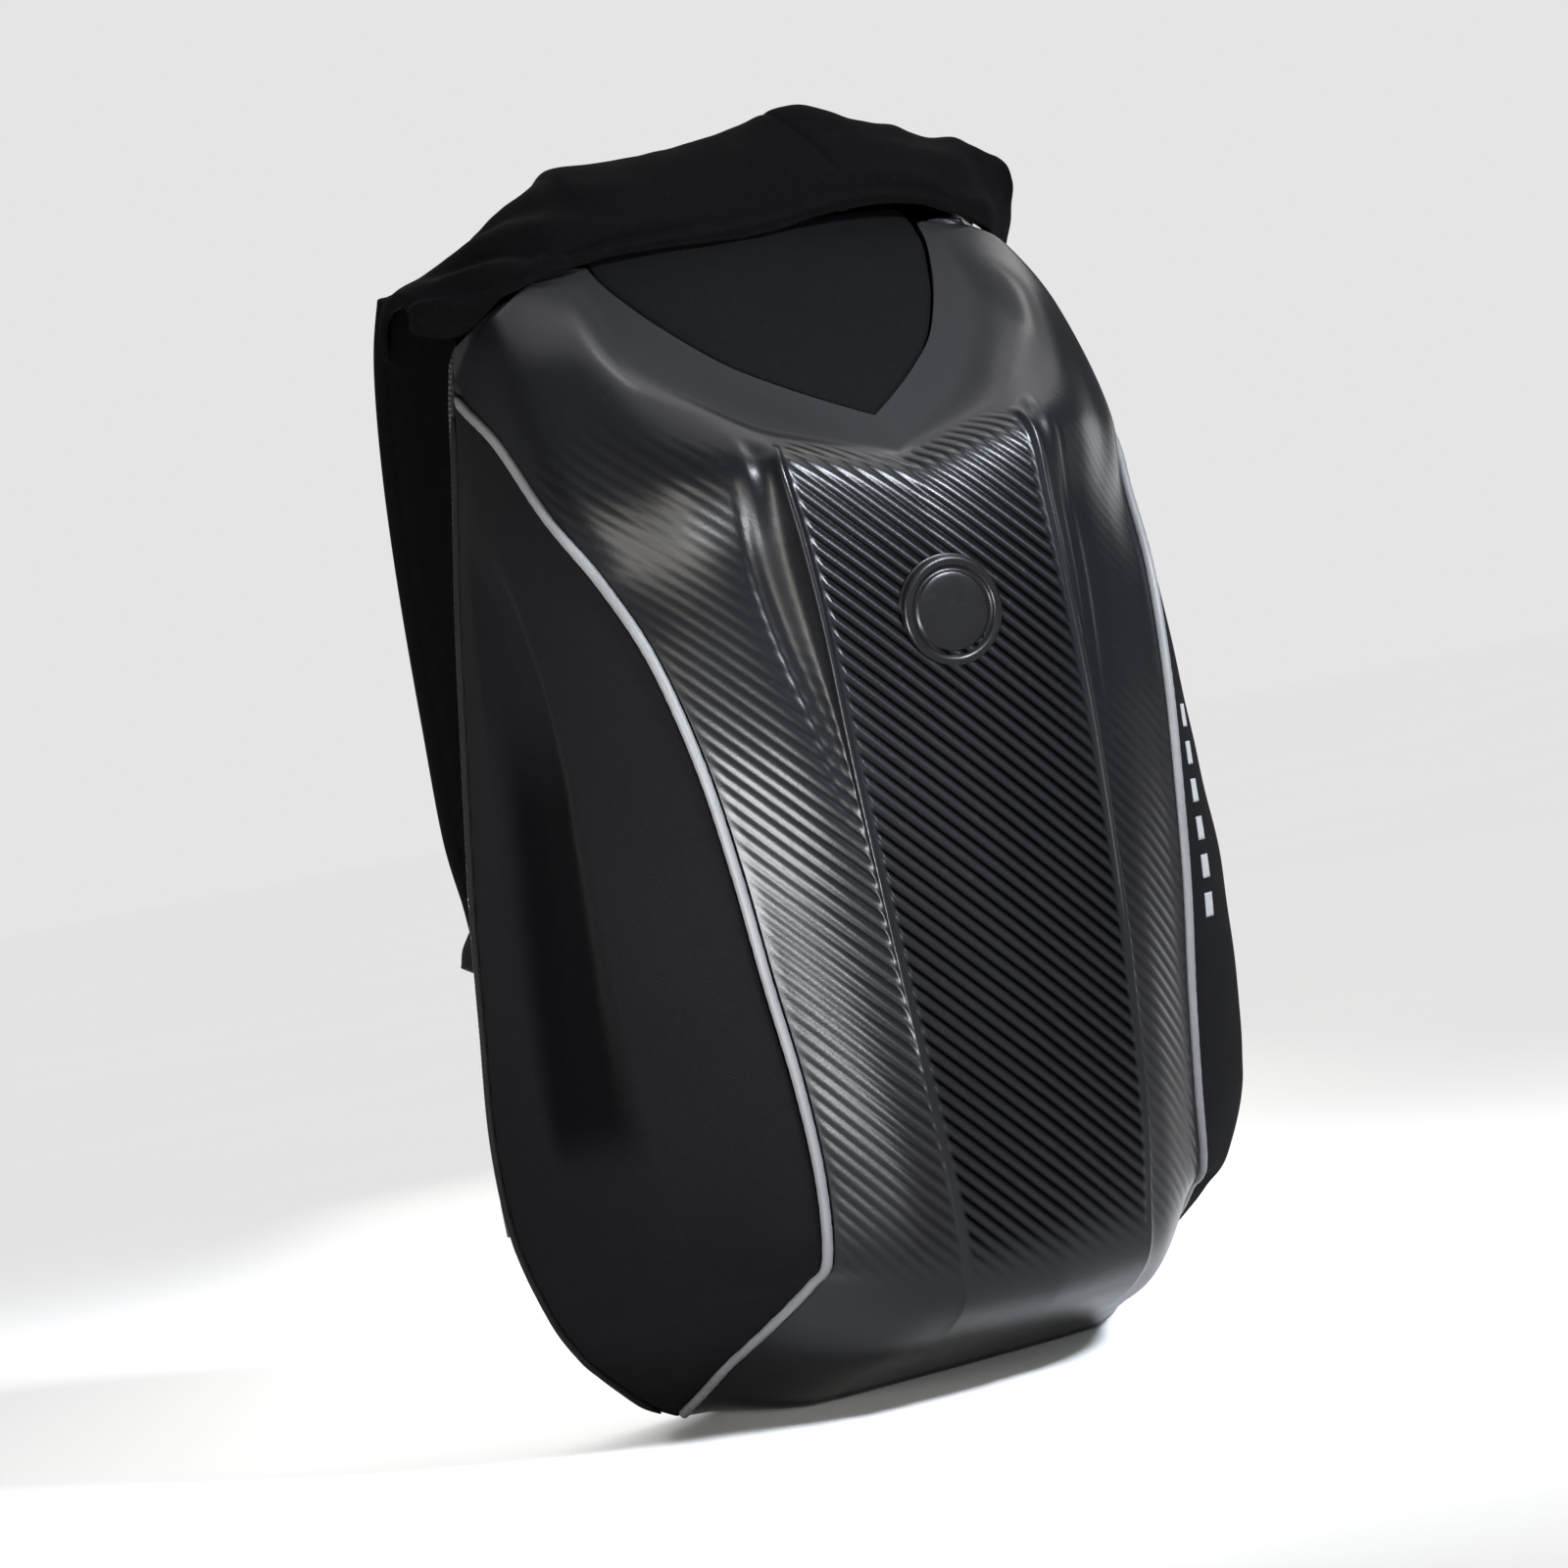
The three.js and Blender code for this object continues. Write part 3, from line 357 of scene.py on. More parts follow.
# Where the shell's slanting ribs show and where they are pressed flatter
ribDetail = dict(
    zeroRow=7, begin=1.85, beginOut=0.5, outColumns=(0.6, 1.3), fadeIn=0.45, end=(10.9, 11.9),
    channelNear=(0.02, 0.12), channelFar=(0.4, 1), channelKeeps=0.6, channelRows=(4.5, 7.5),
    bevelFlat=1.15, bevelReach=10.0, bevelRows=(4.4, 7.2),
    browFlat=0.45, browRow=2.8, browReach=0.9, browColumns=(0.8, 1.2),
    beadClear=(0.8, 2.8), seamFlat=0.9, seamColumns=(5.5, 6),
    rightTop=0.05, rightMore=0.45, rightRows=(5.6, 7.6),
    shoulderFlat=0.5, shoulderRow=4.0, shoulderReach=0.9, shoulderColumns=(2.3, 3.2),
    outerFlat=0.45, outerColumns=(3.1, 4.4), outerRows=(5.5, 7.5),
    leftFlat=0.42, leftTopFlat=0.33, leftTopRows=(5, 7.5), leftColumns=(1, 2))


def shellSurface():
    # Half of the shell for x >= 0. Each control row is a curve across the columns, straight over the front
    # panel and a spline from bevel to seam. The rows are splined down the bag. Off that surface, along its
    # normal, come the crown of the panel, the bead on the crease, the channel beside it and a fine line.
    d = shellDetail
    s = stops((0, 0.8, 15), (0.8, 0.92, 6), (0.92, 1, 12), (1, 2, 25), (2, 6, 61))
    t = stops((0, 4, 90), (4, 9, 70), (9, 15, 74), (15, lastRow, 20))
    shaped = []
    for k, row in enumerate(bodyRows):
        sharp = np.array([np.interp(s, range(7), row[:, axis]) for axis in range(3)]).T
        outer = spline(row[2:], np.clip(s - 2, 0, 4))
        sharp[s > 2] = outer[s > 2]
        if k == 0:
            stop = np.interp(s, range(5), slopeStops)
            edge = onSlope(stop * body["openingLength"], openingHalf(stop))
            top = spline(row, s)
            shaped.append(np.where((s <= 4)[:, None], edge, top))
        else:
            soft = spline(row, s)
            keep = float(np.interp(k, [1, 2, 3], [0.0, 0.55, 1.0]))
            shaped.append(soft + keep * (sharp - soft))
    grid = spline(np.array(shaped), t)
    grid[..., 2] = np.maximum(grid[..., 2], 0)
    across = arcLength(grid, 1)
    down = arcLength(grid, 0)
    T, S = np.meshgrid(t, s, indexing="ij")
    crease = across[:, np.argmin(np.abs(s - 1))][:, None]
    bevel = across[:, np.argmin(np.abs(s - 2))][:, None]
    gap = bevel - crease
    strength = smooth(*d["beadStart"], T) * (1 - smooth(*d["beadEnd"], T))
    crown = d["panelCrown"] * np.clip(1 - (across / crease) ** 2, 0, 1) * smooth(*d["crownRows"], T)
    crown *= 1 - smooth(*d["crownEnd"], T)
    wide, narrow = d["beadWidth"]
    beadWide = wide + (narrow - wide) * smooth(*d["beadNarrows"], T)
    bead = d["beadHeight"] * beadWide / wide * bump(crease, beadWide, across) * strength
    share = np.clip((across - crease) / np.maximum(gap, 1e-3), 0, 1)
    depth = np.minimum(d["channelDepth"], d["channelShare"] * gap)
    channel = -depth * np.sin(math.pi * share) ** 2 * strength
    line = -d["lineDepth"] * bump(bevel + d["lineOut"], d["lineWidth"], across)
    line *= smooth(*d["lineStart"], T) * (1 - smooth(*d["lineEnd"], T))
    wavy = d["waviness"] * waves(grid, d["waveSize"], 3) * smooth(2, 4, S) * (1 - smooth(5, 6, S))
    lift = crown + bead + channel + line + wavy
    lift *= 1 - smooth(*d["plainFoot"], T)
    grid = grid + lift[..., None] * gridNormals(grid)
    grid[..., 2] = np.maximum(grid[..., 2], 0)
    # the edge at the piping stays clear of the bead by an inset along its own row
    keepIn = np.clip(1 - d["seamInset"] / across[:, -1:] * smooth(*d["insetRows"], T), 0, 1)
    squeezed = np.empty_like(grid)
    for k in range(len(t)):
        for axis in range(3):
            squeezed[k, :, axis] = np.interp(across[k] * keepIn[k, 0], across[k], grid[k, :, axis])
    grid = squeezed
    grid[..., 1] = np.minimum(grid[..., 1], body["rimPlane"] + baseBack - body["gap"])
    # the ribs' own map runs out from the middle and up from a row, and a mask says how much they show
    r = ribDetail
    upwards = down[np.argmin(np.abs(t - r["zeroRow"]))][None] - down
    begin = r["begin"] + r["beginOut"] * smooth(*r["outColumns"], S)
    ribs = smooth(begin, begin + r["fadeIn"], T) * (1 - smooth(*r["end"], T))
    inChannel = smooth(*r["channelNear"], share) * (1 - smooth(*r["channelFar"], share))
    ribs *= 1 - inChannel * (1 - r["channelKeeps"] * smooth(*r["channelRows"], T))
    byBevel = np.minimum(r["bevelFlat"] * bump(0, r["bevelReach"], across - bevel), 1)
    ribs *= 1 - byBevel * (1 - smooth(*r["bevelRows"], T))
    ribs *= 1 - r["browFlat"] * bump(r["browRow"], r["browReach"], T) * (1 - smooth(*r["browColumns"], S))
    ribs *= smooth(*r["beadClear"], np.abs(across - crease) / beadWide)
    ribs *= 1 - r["seamFlat"] * smooth(*r["seamColumns"], S)
    lip = (1 - smooth(*d["lipRows"], T)) * (1 - smooth(*d["lipColumns"], S))
    return grid, across, upwards, ribs, lip, S, T


def makeShell():
    # Both halves side by side, with three rows more at the opening: there the lip rolls inwards, by
    # inward * k + away * (k / 3)^2, and towards the yoke this blends into a straight tuck under it.
    d, r = shellDetail, ribDetail
    half, u, v, ribs, lip, S, T = shellSurface()
    rightRibs = ribs * np.where(S > 1.3, r["rightTop"] + r["rightMore"] * smooth(*r["rightRows"], T), 1)
    # in the left shoulder and down the left strip the ribs are pressed flatter
    shoulder = bump(r["shoulderRow"], r["shoulderReach"], T) * smooth(*r["shoulderColumns"], S)
    leftRibs = ribs * (1 - r["shoulderFlat"] * shoulder)
    leftRibs *= 1 - r["outerFlat"] * smooth(*r["outerColumns"], S) * smooth(*r["outerRows"], T)
    flat = r["leftFlat"] + r["leftTopFlat"] * (1 - smooth(*r["leftTopRows"], T))
    leftRibs *= 1 - flat * smooth(*r["leftColumns"], S)
    wide = np.concatenate([mirrorX(half[:, :0:-1]), half], 1)
    uv = np.stack([np.concatenate([-u[:, :0:-1], u], 1), np.concatenate([v[:, :0:-1], v], 1)], -1) * mm
    mask = np.concatenate([leftRibs[:, :0:-1], rightRibs], 1)
    first = wide[:1]
    sign = np.sign(first[..., :1])
    inward = np.array([0, math.sin(body["openingSlope"]), -math.cos(body["openingSlope"])])
    away = sign * [0.5, 0, 0]
    roll = np.concatenate([first + (inward * k + away * (k / 3) ** 2) * d["lipRoll"] / 3 for k in (3, 2, 1)])
    column = np.concatenate([S[0, :0:-1], S[0]])[None, :, None]
    tuck = np.concatenate([sign, np.ones_like(sign), np.ones_like(sign)], -1) * d["tuckWay"]
    tucked = np.concatenate([first + tuck * d["tuck"] * k / 3 for k in (3, 2, 1)])
    roll = roll + smooth(*d["tuckColumns"], column) * (tucked - roll)
    wide[0] = first[0]
    wide = np.concatenate([roll, wide])
    uv = np.concatenate([uv[:1] + [[[0, k * mm]]] for k in (3, 2, 1)] + [uv])
    mask = np.concatenate([np.zeros((3, mask.shape[1])), mask])
    matt = np.concatenate([lip[:, :0:-1], lip], 1)
    matt = np.concatenate([np.repeat(matt[:1], 3, 0), matt])
    # painted shade: the tucked edge under the yoke is made near black and does not shine, where the yoke's
    # shadow falls
    row, column = np.arange(len(wide))[:, None], column[..., 0]
    paintedShadeUnderYoke = smooth(*d["paintedShadeUnderYokeColumns"], column) * (row < 4)
    piece = makeMesh("shell_skin", [(wide, False, uv, {"ribs": mask, "lip": matt, "paintedShadeUnderYoke": paintedShadeUnderYoke})])
    wall = addWall(piece, d["wall"])
    # the wall thins out where the edge turns sharply under the yoke, so its inner side stays hidden
    thin = smooth(*d["thinColumns"], column) * (1 - smooth(*d["thinRows"], row))
    group = piece.vertex_groups.new(name="wall")
    for index, weight in enumerate((1 - d["thinnest"] * thin).ravel().tolist()):
        group.add([index], weight, "REPLACE")
    wall.vertex_group = "wall"
    return place(piece, "shell_skin", shellMaterial(), "shell")


# Cloth sides, piping and rim

# shares run from the piping to the rim; the last four pairs, across and down, give where painted shade darkens
# the cloth in the scoop's valley
sideDetail = dict(columns=84, wall=2.6, ridge=0.42, valley=0.57, valleyEnd=0.67, scoopEnd=0.81,
                  bulgeRound=0.8, deeper=1.25, seamInset=2.35, rimInset=0.35,
                  pucker=0.175, puckerPitch=17, sag=0.7, sagSize=75,
                  paintedValleyShade=(0.4, 0.52), paintedValleyShadeEnd=(0.72, 0.79), paintedValleyShadeRows=(4.9, 6.2), paintedValleyShadeRowsEnd=(8.9, 9.5))


def sideSurface(t, share):
    # Way from the piping seam to the rim, bulged outwards by bulge * sin(pi * share) ^ round, less a scoop
    # that falls behind the ridge and rises again before the rim.
    d = sideDetail
    seam, (rim, bulge, scoop) = seamAt(t), rimAt(t)
    seam, rim = seam[:, None], rim[:, None]
    bulge, scoop, share = bulge[:, None], scoop[:, None], share[None]
    flat = (rim - seam)[..., :2]
    across = np.linalg.norm(flat, axis=-1, keepdims=True)
    across[across == 0] = 1
    out = np.stack([flat[..., 1], -flat[..., 0], 0 * flat[..., 0]], -1) / across
    dip = scoop * smooth(d["ridge"], d["valley"], share) * (1 - smooth(d["valleyEnd"], d["scoopEnd"], share))
    lift = bulge * np.sin(math.pi * np.clip(share, 0, 1)) ** d["bulgeRound"] - dip * d["deeper"]
    return seam + share[..., None] * (rim - seam) + lift[..., None] * out


def makeSidePanel(name, side, material):
    # the side's surface, begun clear of the piping, with puckers along both edges and soft sagging between:
    # pucker * edge * sin(2 pi run / pitch) + sag * waves * sin(pi share), and a mask for painted shade in its
    # valley
    d = sideDetail
    t = stops((1.12, 4, 56), (4, 9, 66), (9, 15, 66), (15, lastRow - 0.25, 14))
    share = np.linspace(0, 1, d["columns"])
    grid = sideSurface(t, share)
    width = np.linalg.norm(grid[:, -1] - grid[:, 0], axis=1)[:, None]
    inset = np.minimum(d["seamInset"] / width, 0.3)
    fine = np.stack([sideSurface(t[k:k + 1], inset[k, 0] + share * (1 - inset[k, 0]))[0]
                     for k in range(len(t))])
    across, down = arcLength(fine, 1), arcLength(fine, 0)
    T, S = np.meshgrid(t, share, indexing="ij")
    edge = bump(0, 0.09, S) + bump(1, 0.07, S)
    pucker = d["pucker"] * edge * np.sin(2 * math.pi * down / d["puckerPitch"] + 2 * waves(fine, 60, 5))
    soft = d["sag"] * waves(fine, d["sagSize"], 8 + side) * np.sin(math.pi * S)
    fine = fine + ((pucker + soft) * smooth(1.12, 2.2, T))[..., None] * -gridNormals(fine)
    fine[:, -1, 1] -= d["rimInset"]
    fine[..., 1] = np.minimum(fine[..., 1], fine[:, -1:, 1])
    uv = np.stack([across, -down], -1) * mm
    # painted shade: the cloth's colour is darkened in the scoop's valley, where shade falls
    paintedValleyShade = smooth(*d["paintedValleyShade"], S) * (1 - smooth(*d["paintedValleyShadeEnd"], S))
    paintedValleyShade = paintedValleyShade * smooth(*d["paintedValleyShadeRows"], T) * (1 - smooth(*d["paintedValleyShadeRowsEnd"], T))
    if side < 0:
        fine, uv, paintedValleyShade = mirrorX(fine)[:, ::-1], uv[:, ::-1] * [-1, 1], paintedValleyShade[:, ::-1]
    piece = makeMesh(name + "_cloth", [(fine, False, uv, {"paintedValleyShade": paintedValleyShade})])
    addWall(piece, d["wall"])
    return place(piece, "dark_cloth", material, name)


pipingDetail = dict(radius=2.0, lift=0.6, sides=14, stations=240, swell=0.03, stitch=6.5)


def makePiping(name, side, material):
    # A round cord carried along the seam, its radius swelling slightly with the sewing: r (1 + a sin).
    d = pipingDetail
    t = np.linspace(1.05, lastRow - 0.25, d["stations"])
    path = seamAt(t)
    out = squareTo(np.array([1.0, -1.0, 0]) / math.sqrt(2), heading(path))
    path = path + d["lift"] * out
    run = arcLength(path, 0)
    size = (1 + d["swell"] * np.sin(2 * math.pi * run / d["stitch"])) * smooth(-4, 6, run)
    ring = roundOutline(d["radius"], d["radius"], d["sides"])
    piece = makeTubes(name + "_cord", side, sweep(path, out, ring[None] * size[:, None, None]))
    return place(piece, "reflective_trim", material, name)


def rimHalf(fineSides=150, fineTop=40):
    # half of the rim from the middle of the base up the right side to the middle of the top
    base = rimBase[::-1] * [body["halfWidth"], body["foldHeight"]]
    base = np.stack([base[:, 0], 0 * base[:, 0] + baseBack + body["rimPlane"], base[:, 1]], -1)
    sides = rimAt(np.linspace(lastRow - 0.25, 1.12, fineSides))[0]
    top = spline(rimTop, np.linspace(0, len(rimTop) - 1, fineTop)) * [body["halfWidth"], body["foldHeight"]]
    top = np.stack([top[:, 0], 0 * top[:, 0] + body["rimPlane"], top[:, 1]], -1)
    return np.concatenate([spline(base, np.linspace(0, 2, 12))[:-1], sides, top])


def even(points, count):
    # the same line with points at equal distances
    run = arcLength(points, 0)
    want = np.linspace(0, run[-1], count)
    return np.stack([np.interp(want, run, points[:, axis]) for axis in range(3)], -1)


bindingDetail = dict(radius=1.5, lift=1.1, sides=10, stations=200, top=396, inner=103)


def makeBinding(name, side, material):
    # a thin round edge carried up the rim from beside the base, thinner at both ends
    d = bindingDetail
    path = rimAt(np.linspace(lastRow - 1.5, 1.2, d["stations"]))[0]
    path = path[(path[:, 2] < d["top"]) & (path[:, 0] > d["inner"])]
    out = squareTo(toRight, heading(path))
    path = path + d["lift"] * out
    run = arcLength(path, 0)
    size = np.minimum(smooth(-6, 10, run), smooth(-6, 10, run[-1] - run))
    ring = roundOutline(d["radius"], d["radius"], d["sides"])
    piece = makeTubes(name + "_cord", side, sweep(path, out, ring[None] * size[:, None, None]))
    return place(piece, "reflective_trim", material, name)


# Neoprene shield and yoke

shieldDetail = dict(columns=60, gap=1.0, bow=3.0, wall=2.8, edgeRound=1.6, edgeReach=1.4, tuck=10,
                    waviness=0.5, waveSize=70)


def makeShield(material):
    # A pointed sheet in the sloping plane: half width from the opening's outline less a gap, bowed by
    # bow (1 - across^2), with its rim rounded down into the seam.
    d = shieldDetail
    stop = np.concatenate([0.012 + 0.3 * np.linspace(0, 1, 36)[:-1] ** 1.6, np.linspace(0.312, 1, 50)[:-1],
                           np.linspace(1, 1 + d["tuck"] / body["openingLength"], 8)])
    across = np.sin(np.linspace(-1, 1, d["columns"] + 1) * math.pi / 2)
    half = np.maximum(openingHalf(np.minimum(stop, 1)) - d["gap"], 0.3)
    A, P = np.meshgrid(across, stop)
    inFrom = (1 - np.abs(A)) * half[:, None]
    raised = d["bow"] * (1 - A * A) * np.sin(math.pi * np.minimum(P, 1) / 2)
    raised -= d["edgeRound"] * np.exp(-inFrom / d["edgeReach"])
    grid = onSlope(P * body["openingLength"], A * half[:, None], raised)
    wavy = d["waviness"] * waves(grid, d["waveSize"], 21) * (1 - A * A)
    grid = (grid + wavy[..., None] * np.array([0, -0.7, 0.7]))[::-1]
    uv = np.stack([A * half[:, None], P * body["openingLength"]], -1)[::-1] * mm
    piece = makeMesh("shield_cloth", [(grid, False, uv, {})])
    addWall(piece, d["wall"])
    return place(piece, "neoprene", material, "shield_panel")


yokeDetail = dict(halfSpan=136, depth=74.15, rise=43, foldDepth=42.5, wall=2.8, stations=230, around=100,
                  waves=((0.9, 46, 31), (0.5, 21, 33)),    # height, size and seed of the slow unevenness
                  wayLength=22.0, wrinkleBend=2.5, shoulder=0.45, shoulderOut=1.9)
# stations from left to right: x of half span, then y back from the fold and z above it, of depth and rise,
# at hem, puff, brow, top, back and tail
yokeSections = np.array([
    [-0.965, 0.5, -0.22, 0.47, -0.14, 0.49, -0.04, 0.62, 0.03, 0.82, -0.03, 0.92, -0.26],
    [-0.95, 0.42, -0.3, 0.39, -0.1, 0.42, 0.02, 0.6, 0.16, 0.87, 0.06, 0.97, -0.36],
    [-0.86, 0.3, -0.37, 0.24, -0.12, 0.3, 0.1, 0.6, 0.28, 0.9, 0.16, 0.993, -0.4],
    [-0.765, 0.06, -0.14, 0.07, 0.02, 0.22, 0.24, 0.6, 0.42, 0.9, 0.27, 0.993, -0.29],
    [-0.64, 0, -0.03, 0.02, 0.16, 0.2, 0.46, 0.6, 0.67, 0.9, 0.45, 0.993, -0.13],
    [-0.5, -0.05, 0.04, -0.03, 0.27, 0.21, 0.68, 0.6, 0.92, 0.9, 0.64, 0.993, -0.02],
    [-0.44, -0.05, 0.06, -0.04, 0.3, 0.22, 0.78, 0.6, 1.06, 0.9, 0.72, 0.993, 0.005],
    [-0.3, -0.05, 0.07, -0.04, 0.31, 0.23, 0.8, 0.6, 1.07, 0.9, 0.74, 0.993, 0.015],
    [0, -0.05, 0.08, -0.04, 0.34, 0.23, 0.82, 0.6, 1.12, 0.9, 0.78, 0.993, 0.015],
    [0.2, -0.05, 0.17, -0.045, 0.42, 0.22, 0.9, 0.6, 1.27, 0.9, 0.84, 0.993, 0.015],
    [0.36, -0.05, 0.21, -0.045, 0.44, 0.22, 0.93, 0.6, 1.37, 0.9, 0.88, 0.993, 0.005],
    [0.52, -0.04, 0.17, -0.04, 0.4, 0.21, 0.86, 0.6, 1.19, 0.9, 0.82, 0.993, -0.02],
    [0.64, -0.01, 0.06, 0, 0.3, 0.22, 0.76, 0.6, 1.08, 0.9, 0.76, 0.993, -0.13],
    [0.765, 0.06, -0.12, 0.07, 0.16, 0.26, 0.62, 0.6, 0.98, 0.9, 0.68, 0.993, -0.28],
    [0.86, 0.28, -0.32, 0.24, 0.04, 0.34, 0.54, 0.6, 0.88, 0.9, 0.62, 0.993, -0.36],
    [0.93, 0.4, -0.12, 0.36, 0.14, 0.4, 0.5, 0.6, 0.78, 0.88, 0.56, 0.97, -0.1],
    [0.985, 0.45, 0.24, 0.42, 0.38, 0.45, 0.52, 0.6, 0.68, 0.84, 0.52, 0.92, 0.3],
])
# wrinkles of the yoke: from and to as (x in mm, way round from hem 0 to tail 5), depth and width in mm
yokeWrinkles = [
    dict(start=(-96, 0.5), end=(40, 0.62), depth=1.7, width=4.0),
    dict(start=(-20, 0.95), end=(92, 0.55), depth=1.5, width=4.5),
    dict(start=(-118, 2.9), end=(-84, 0.9), depth=3.0, width=5.5),
    dict(start=(-104, 3.3), end=(-60, 1.4), depth=1.6, width=5.0),
    dict(start=(-126, 2.0), end=(-98, 0.3), depth=2.2, width=4.5),
    dict(start=(128, 2.6), end=(92, 0.9), depth=1.8, width=5.0),
    dict(start=(112, 3.2), end=(80, 2.0), depth=1.3, width=6.0),
]
yokeSeam = dict(points=[(38, 0.0), (42, 0.9), (41, 1.8), (36, 2.8), (30, 5.0)], depth=1.0, width=1.3)


def makeYoke(material):
    # Sections splined both ways, then creased: each wrinkle lowers the surface along its own normal by
    # depth * bell(distance / width), with soft shoulders beside it, and faded at its two ends.
    d = yokeDetail
    shares = yokeSections[:, 1:].reshape(len(yokeSections), 6, 2)
    points = np.stack([np.broadcast_to(yokeSections[:, :1] * d["halfSpan"], shares.shape[:2]),
                       body["rimPlane"] - d["foldDepth"] + shares[..., 0] * d["depth"],
                       body["foldHeight"] + shares[..., 1] * d["rise"]], -1)
    station = np.linspace(0, len(yokeSections) - 1, d["stations"])
    way = np.linspace(5, 0, d["around"])
    lines = spline(points, station)
    grid = spline(np.swapaxes(lines, 0, 1), way)
    W, X = np.meshgrid(way, grid[0, :, 0], indexing="ij")
    lift = sum(height * waves(grid, size, seed) for height, size, seed in d["waves"])
    scale = np.array([1, d["wayLength"]])
    for w in yokeWrinkles:
        a, b = w["start"] * scale, w["end"] * scale
        span = b - a
        q = np.stack([X, W], -1) * scale - a
        share = (q @ span) / (span @ span)
        off = (q[..., 0] * span[1] - q[..., 1] * span[0]) / np.linalg.norm(span)
        off = off + d["wrinkleBend"] * np.sin(math.pi * np.clip(share, 0, 1))
        fade = smooth(-0.15, 0.25, share) * (1 - smooth(0.75, 1.15, share))
        beside = w["width"] * d["shoulderOut"]
        lift -= w["depth"] * fade * (bump(0, w["width"], off) - d["shoulder"] * bump(beside, w["width"], off)
                                     - d["shoulder"] * bump(-beside, w["width"], off))
    seamX = np.interp(W, [p[1] for p in yokeSeam["points"]], [p[0] for p in yokeSeam["points"]])
    lift -= yokeSeam["depth"] * bump(0, yokeSeam["width"], X - seamX)
    grid = grid + lift[..., None] * gridNormals(grid)
    uv = np.stack([arcLength(grid, 1), -arcLength(grid, 0)], -1) * mm
    piece = makeMesh("yoke_cloth", [(grid, False, uv, {})])
    addWall(piece, d["wall"])
    place(piece, "neoprene", material, "yoke")
    return piece


# Soft back: gusset, zip, padded panel, straps

halfStations = 260


def drawnLoop(depth, inset):
    # the rim loop at a depth behind the rim plane, drawn in by the gusset's taper at its sides and an inset
    half = even(rimHalf(), halfStations)
    before = np.concatenate([mirrorX(half[1:2]), half[:-1]])
    after = np.concatenate([half[1:], mirrorX(half[-2:-1])])
    along = unit((after - before)[:, [0, 2]])
    front = half[:, 1] - body["rimPlane"] + body["gap"]
    level = front + depth * (body["gussetDepth"] - front)
    drawn = inset + body["gussetTaper"] * np.maximum(level - front, 0)
    half = np.stack([half[:, 0] - drawn * along[:, 1], level + body["rimPlane"],
                     half[:, 2] + inset * along[:, 0]], -1)
    half[0, 0] = half[-1, 0] = 0
    return np.concatenate([half, mirrorX(half[1:-1])[::-1]])


gussetDetail = dict(rows=52, wall=2.3, crown=1.7, crownRound=0.6, waviness=0.3, waveSize=80,
                    seamDepth=0.7, seams=(0.06, 0.2, 0.58, 0.94), seamWidth=0.018)


def makeGusset(material):
    # A band round the bag: loops between its front and rear edge, crowned outwards between its seams.
    d = gussetDetail
    share = np.linspace(0, 1, d["rows"])
    grid = np.stack([drawnLoop(k, 0) for k in share])
    normal = gridNormals(grid, True)
    if normal[5, 200, 0] < 0:
        normal = -normal
    run = arcLength(grid, 1)
    lift = d["crown"] + d["waviness"] * waves(grid, d["waveSize"], 41)
    lift = lift * np.sin(math.pi * share)[:, None] ** d["crownRound"]
    for seam in d["seams"]:
        lift = lift - d["seamDepth"] * bump(seam, d["seamWidth"], share)[:, None]
    grid = grid + lift[..., None] * normal * smooth(-2, 14, grid[..., 2])[..., None]
    grid[..., 2] = np.maximum(grid[..., 2], 0.2)
    uv = np.stack([run, np.broadcast_to(share[:, None] * body["gussetDepth"], run.shape)], -1) * mm
    piece = makeMesh("gusset_cloth", [(grid, True, uv, {})])
    addWall(piece, d["wall"])
    return place(piece, "dark_cloth", material, "rear_gusset")


zipDetail = dict(front=8, width=9, foot=80, wall=1.0, tapeLift=2.6, tooth=(1.25, 2.3, 1.5), pitch=2.1,
                 teethLift=3.4, rowOffset=0.9)


def zipLine(share, lift):
    # the line along the gusset at a share of its depth, from low on the left over the top to the right
    half = drawnLoop(share, -lift)[:halfStations]
    half = half[half[:, 2] > zipDetail["foot"]]
    return np.concatenate([mirrorX(half), half[::-1][1:]])


